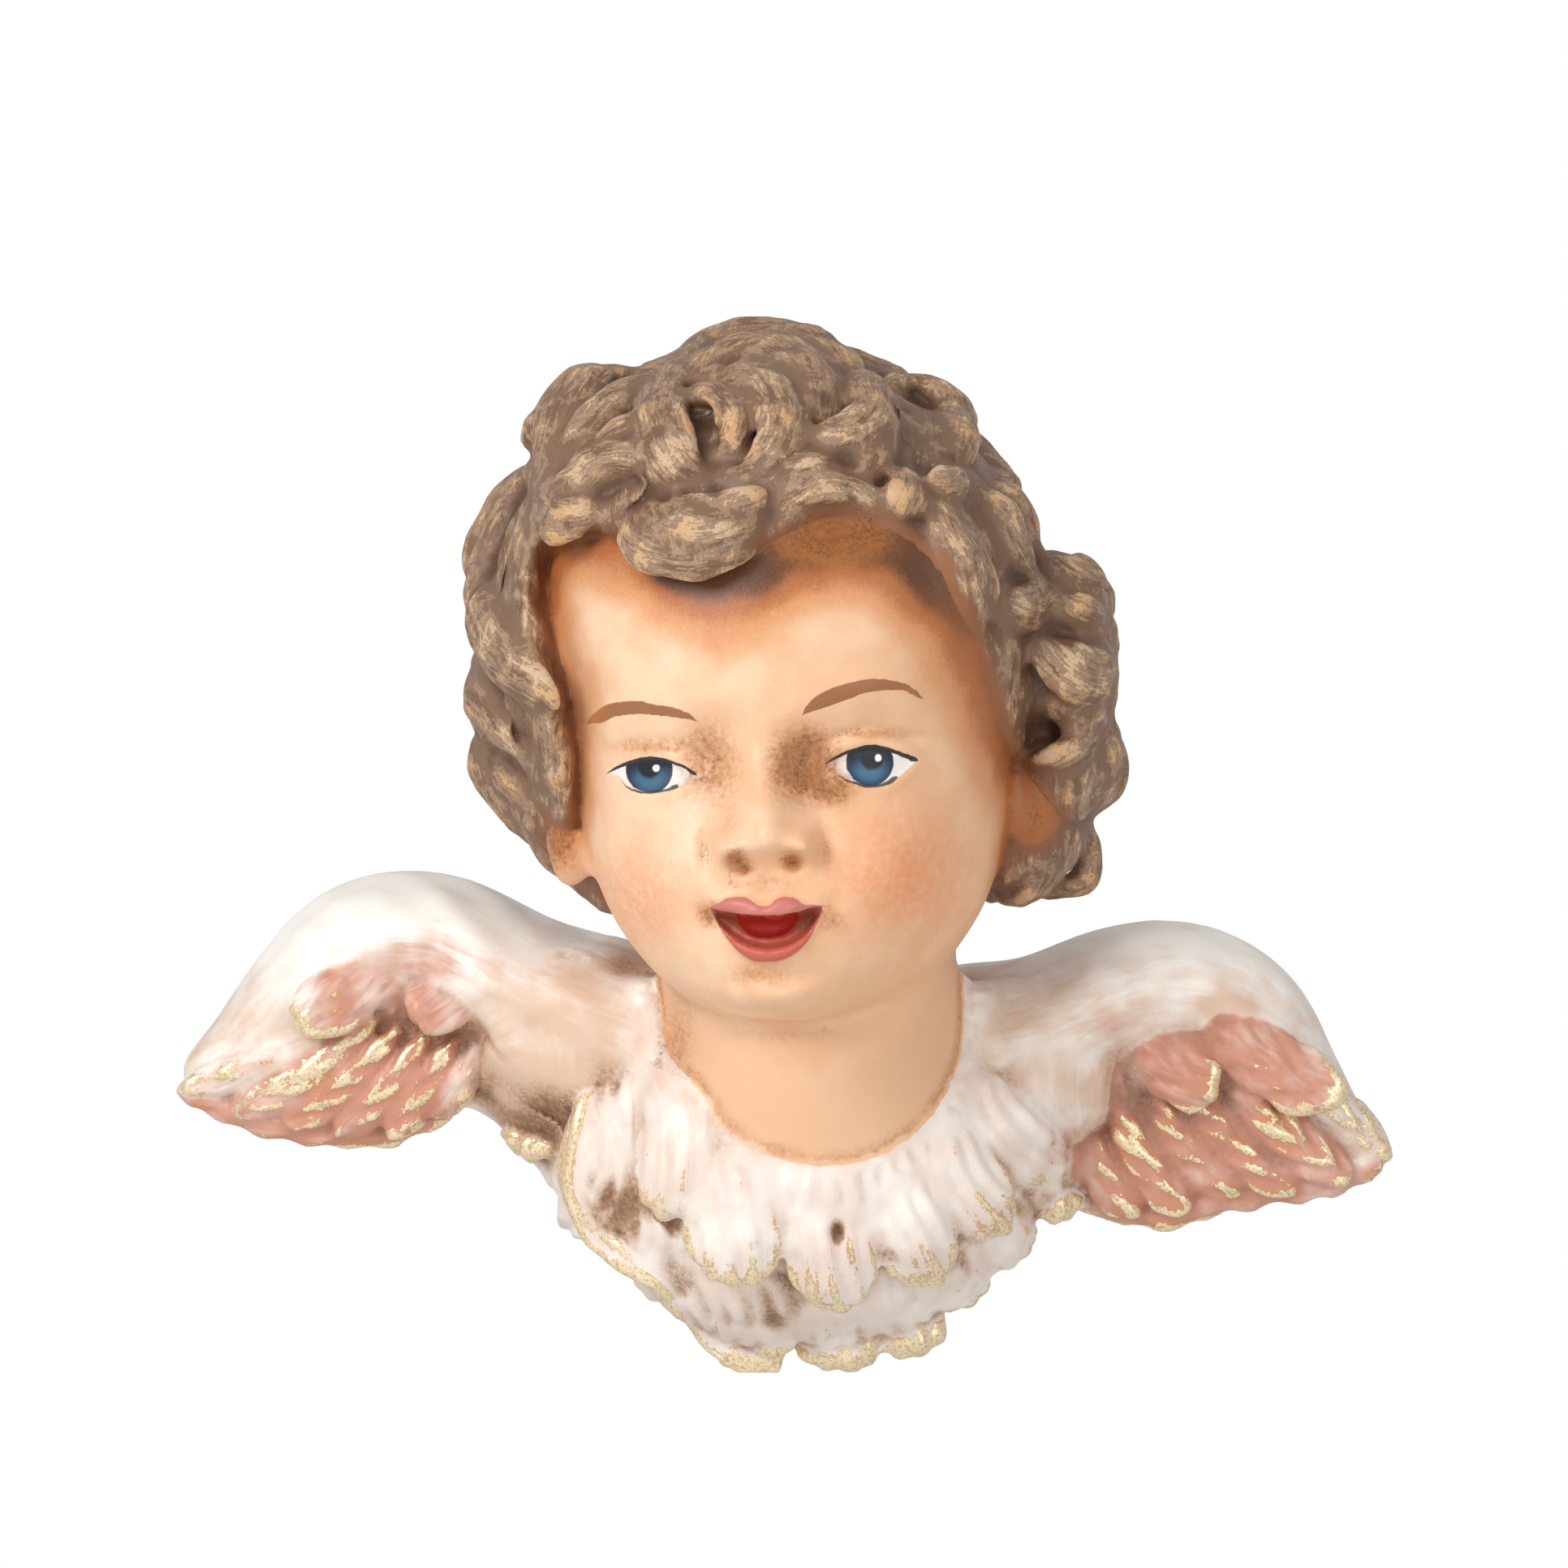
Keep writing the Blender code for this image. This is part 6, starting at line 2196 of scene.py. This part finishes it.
    def laid(self) -> bpy.types.Material:
        """Lays on every finish.

        Returns:
            The finished material.
        """
        desk, value = self.desk, self.values
        grit = (self.crust - 0.5) * 0.5
        hair, tan = self.hair()
        feathers, gold = self.feathers()
        feathered = (value["wing"] + value["collar"] + grit * 0.25).rise(0.42, 0.58)
        haired = (value["hair"] + grit * 0.5).rise(0.38, 0.62)
        painted = (value["skin"] + value["hair"] + value["wing"] + value["collar"]).rise(0.2, 0.6)
        painted = painted * (grit - (self.front["Y"] + 0.4)).rise(-0.1, 0.9)
        colour = desk.blend(feathered, self.skin(), feathers)
        colour = desk.blend(haired, colour, hair)
        depth = value["broad"] * -1.0 + value["wash"] + value["soil"] * 0.8
        cracked = self.cracks.placed(desk, Place=self.place, Depth=depth)["Cover"]
        colour = desk.blend(cracked * 0.75, colour, self.feather_paint.wash_deep)
        bare = desk.blend(self.cloud.rise(0.35, 0.65), self.bare.colour, self.bare.dusty)
        colour = desk.blend(painted, bare, colour)
        gilded = gold * feathered * (1 - haired)
        rough = (1 - gilded) * self.skin_paint.roughness + gilded * self.feather_paint.gold_roughness
        rough = rough + haired * 0.08 + tan * haired * 0.12 + (self.cloud - 0.5) * 0.12 + (1 - painted) * 0.35
        height = (self.speck - 0.5) * 0.02 + (self.crust - 0.5) * 0.035
        height = height + haired * ((self.bristle - 0.5) * 0.16 + (self.streak - 0.5) * 0.22 + tan * 0.06)
        height = height + feathered * ((self.streak - 0.5) * 0.12 + gold * 0.05) - cracked * 0.06
        shader = desk.tree.nodes["Principled BSDF"]
        bumped = desk.node("ShaderNodeBump", "Normal", Height=height, Distance=MM, Strength=1.0)
        links = desk.tree.links
        links.new(colour.socket, shader.inputs["Base Color"])
        links.new(rough.socket, shader.inputs["Roughness"])
        links.new((gilded * 0.55).socket, shader.inputs["Metallic"])
        links.new(bumped.socket, shader.inputs["Normal"])
        return self.material


@dataclass
class Studio:
    """The camera, the soft lights, the pale floor and the bright surroundings."""

    view_centre: Pair = (0.63, 17.2)
    view_width: float = 202.9
    view_plane: float = -25.0
    lens: float = 250.0
    sensor: float = 36.0
    floor_level: float = -0.35
    floor_size: float = 5.0

    def place_camera(self) -> None:
        """Sets the camera straight in front, at the photograph's framing."""
        camera = bpy.data.cameras.new("front_camera")
        camera.lens, camera.sensor_width = self.lens, self.sensor
        holder = bpy.data.objects.new("front_camera", camera)
        bpy.context.scene.collection.objects.link(holder)
        away = self.lens / self.sensor * self.view_width
        holder.location = Vector((self.view_centre[0], self.view_plane - away, self.view_centre[1])) * MM
        holder.rotation_euler = (math.pi / 2, 0, 0)
        bpy.context.scene.camera = holder

    def place_light(self, name: str, spot: Point, power: float, size: float) -> None:
        """Adds one square soft light that faces the plaque.

        Args:
            name: Its name.
            spot: Where it stands.
            power: Its power in watts.
            size: The length of its side.
        """
        light = bpy.data.lights.new(name, "AREA")
        light.energy, light.size = power, size
        holder = bpy.data.objects.new(name, light)
        holder.location = spot
        holder.rotation_euler = (-Vector(spot)).to_track_quat("-Z", "Y").to_euler()
        bpy.context.scene.collection.objects.link(holder)

    def brighten_world(self) -> None:
        """Makes the surroundings white to the eye and softer as a light."""
        world = bpy.data.worlds.new("pale_studio")
        bpy.context.scene.world = world
        world.use_nodes = True
        nodes, links = world.node_tree.nodes, world.node_tree.links
        seen = nodes.new("ShaderNodeLightPath")
        power = nodes.new("ShaderNodeMapRange")
        power.inputs["To Min"].default_value = 0.55
        power.inputs["To Max"].default_value = 1.0
        links.new(seen.outputs["Is Camera Ray"], power.inputs["Value"])
        links.new(power.outputs["Result"], nodes["Background"].inputs["Strength"])
        nodes["Background"].inputs["Color"].default_value = (1.0, 1.0, 1.0, 1.0)

    def lay_floor(self) -> None:
        """Adds the plain pale floor, below what the camera sees."""
        bpy.ops.object.select_all(action="DESELECT")
        bpy.ops.mesh.primitive_plane_add(size=self.floor_size, location=(0, 0, self.floor_level))
        floor = bpy.context.object
        floor.name = "pale_floor"
        pale = bpy.data.materials.new("pale_floor")
        pale.use_nodes = True
        shader = pale.node_tree.nodes["Principled BSDF"]
        shader.inputs["Base Color"].default_value = (0.82, 0.82, 0.81, 1.0)
        shader.inputs["Roughness"].default_value = 0.7
        floor.data.materials.append(pale)

    def build(self) -> None:
        """Sets up everything around the plaque."""
        self.place_camera()
        self.place_light("key_light", (-0.8, -1.0, 0.55), 10.5, 0.6)
        self.place_light("fill_light", (0.7, -1.2, 0.1), 3.4, 0.8)
        self.brighten_world()
        self.lay_floor()
        bpy.context.scene.view_settings.view_transform = "Standard"


def main() -> None:
    """Builds the plaque and its studio."""
    logging.basicConfig(level=logging.INFO, format="%(name)s: %(message)s")
    bpy.ops.object.select_all(action="DESELECT")
    Studio().build()
    log.info("studio ready")
    casting = Casting(Grain())
    piece = casting.model()
    piece.data.materials.clear()
    piece.data.materials.append(Paint(casting.face).laid())
    log.info("painted %s", piece.name)
    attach(piece, "root")
    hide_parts(NODE)


if __name__ == "__main__":
    main()
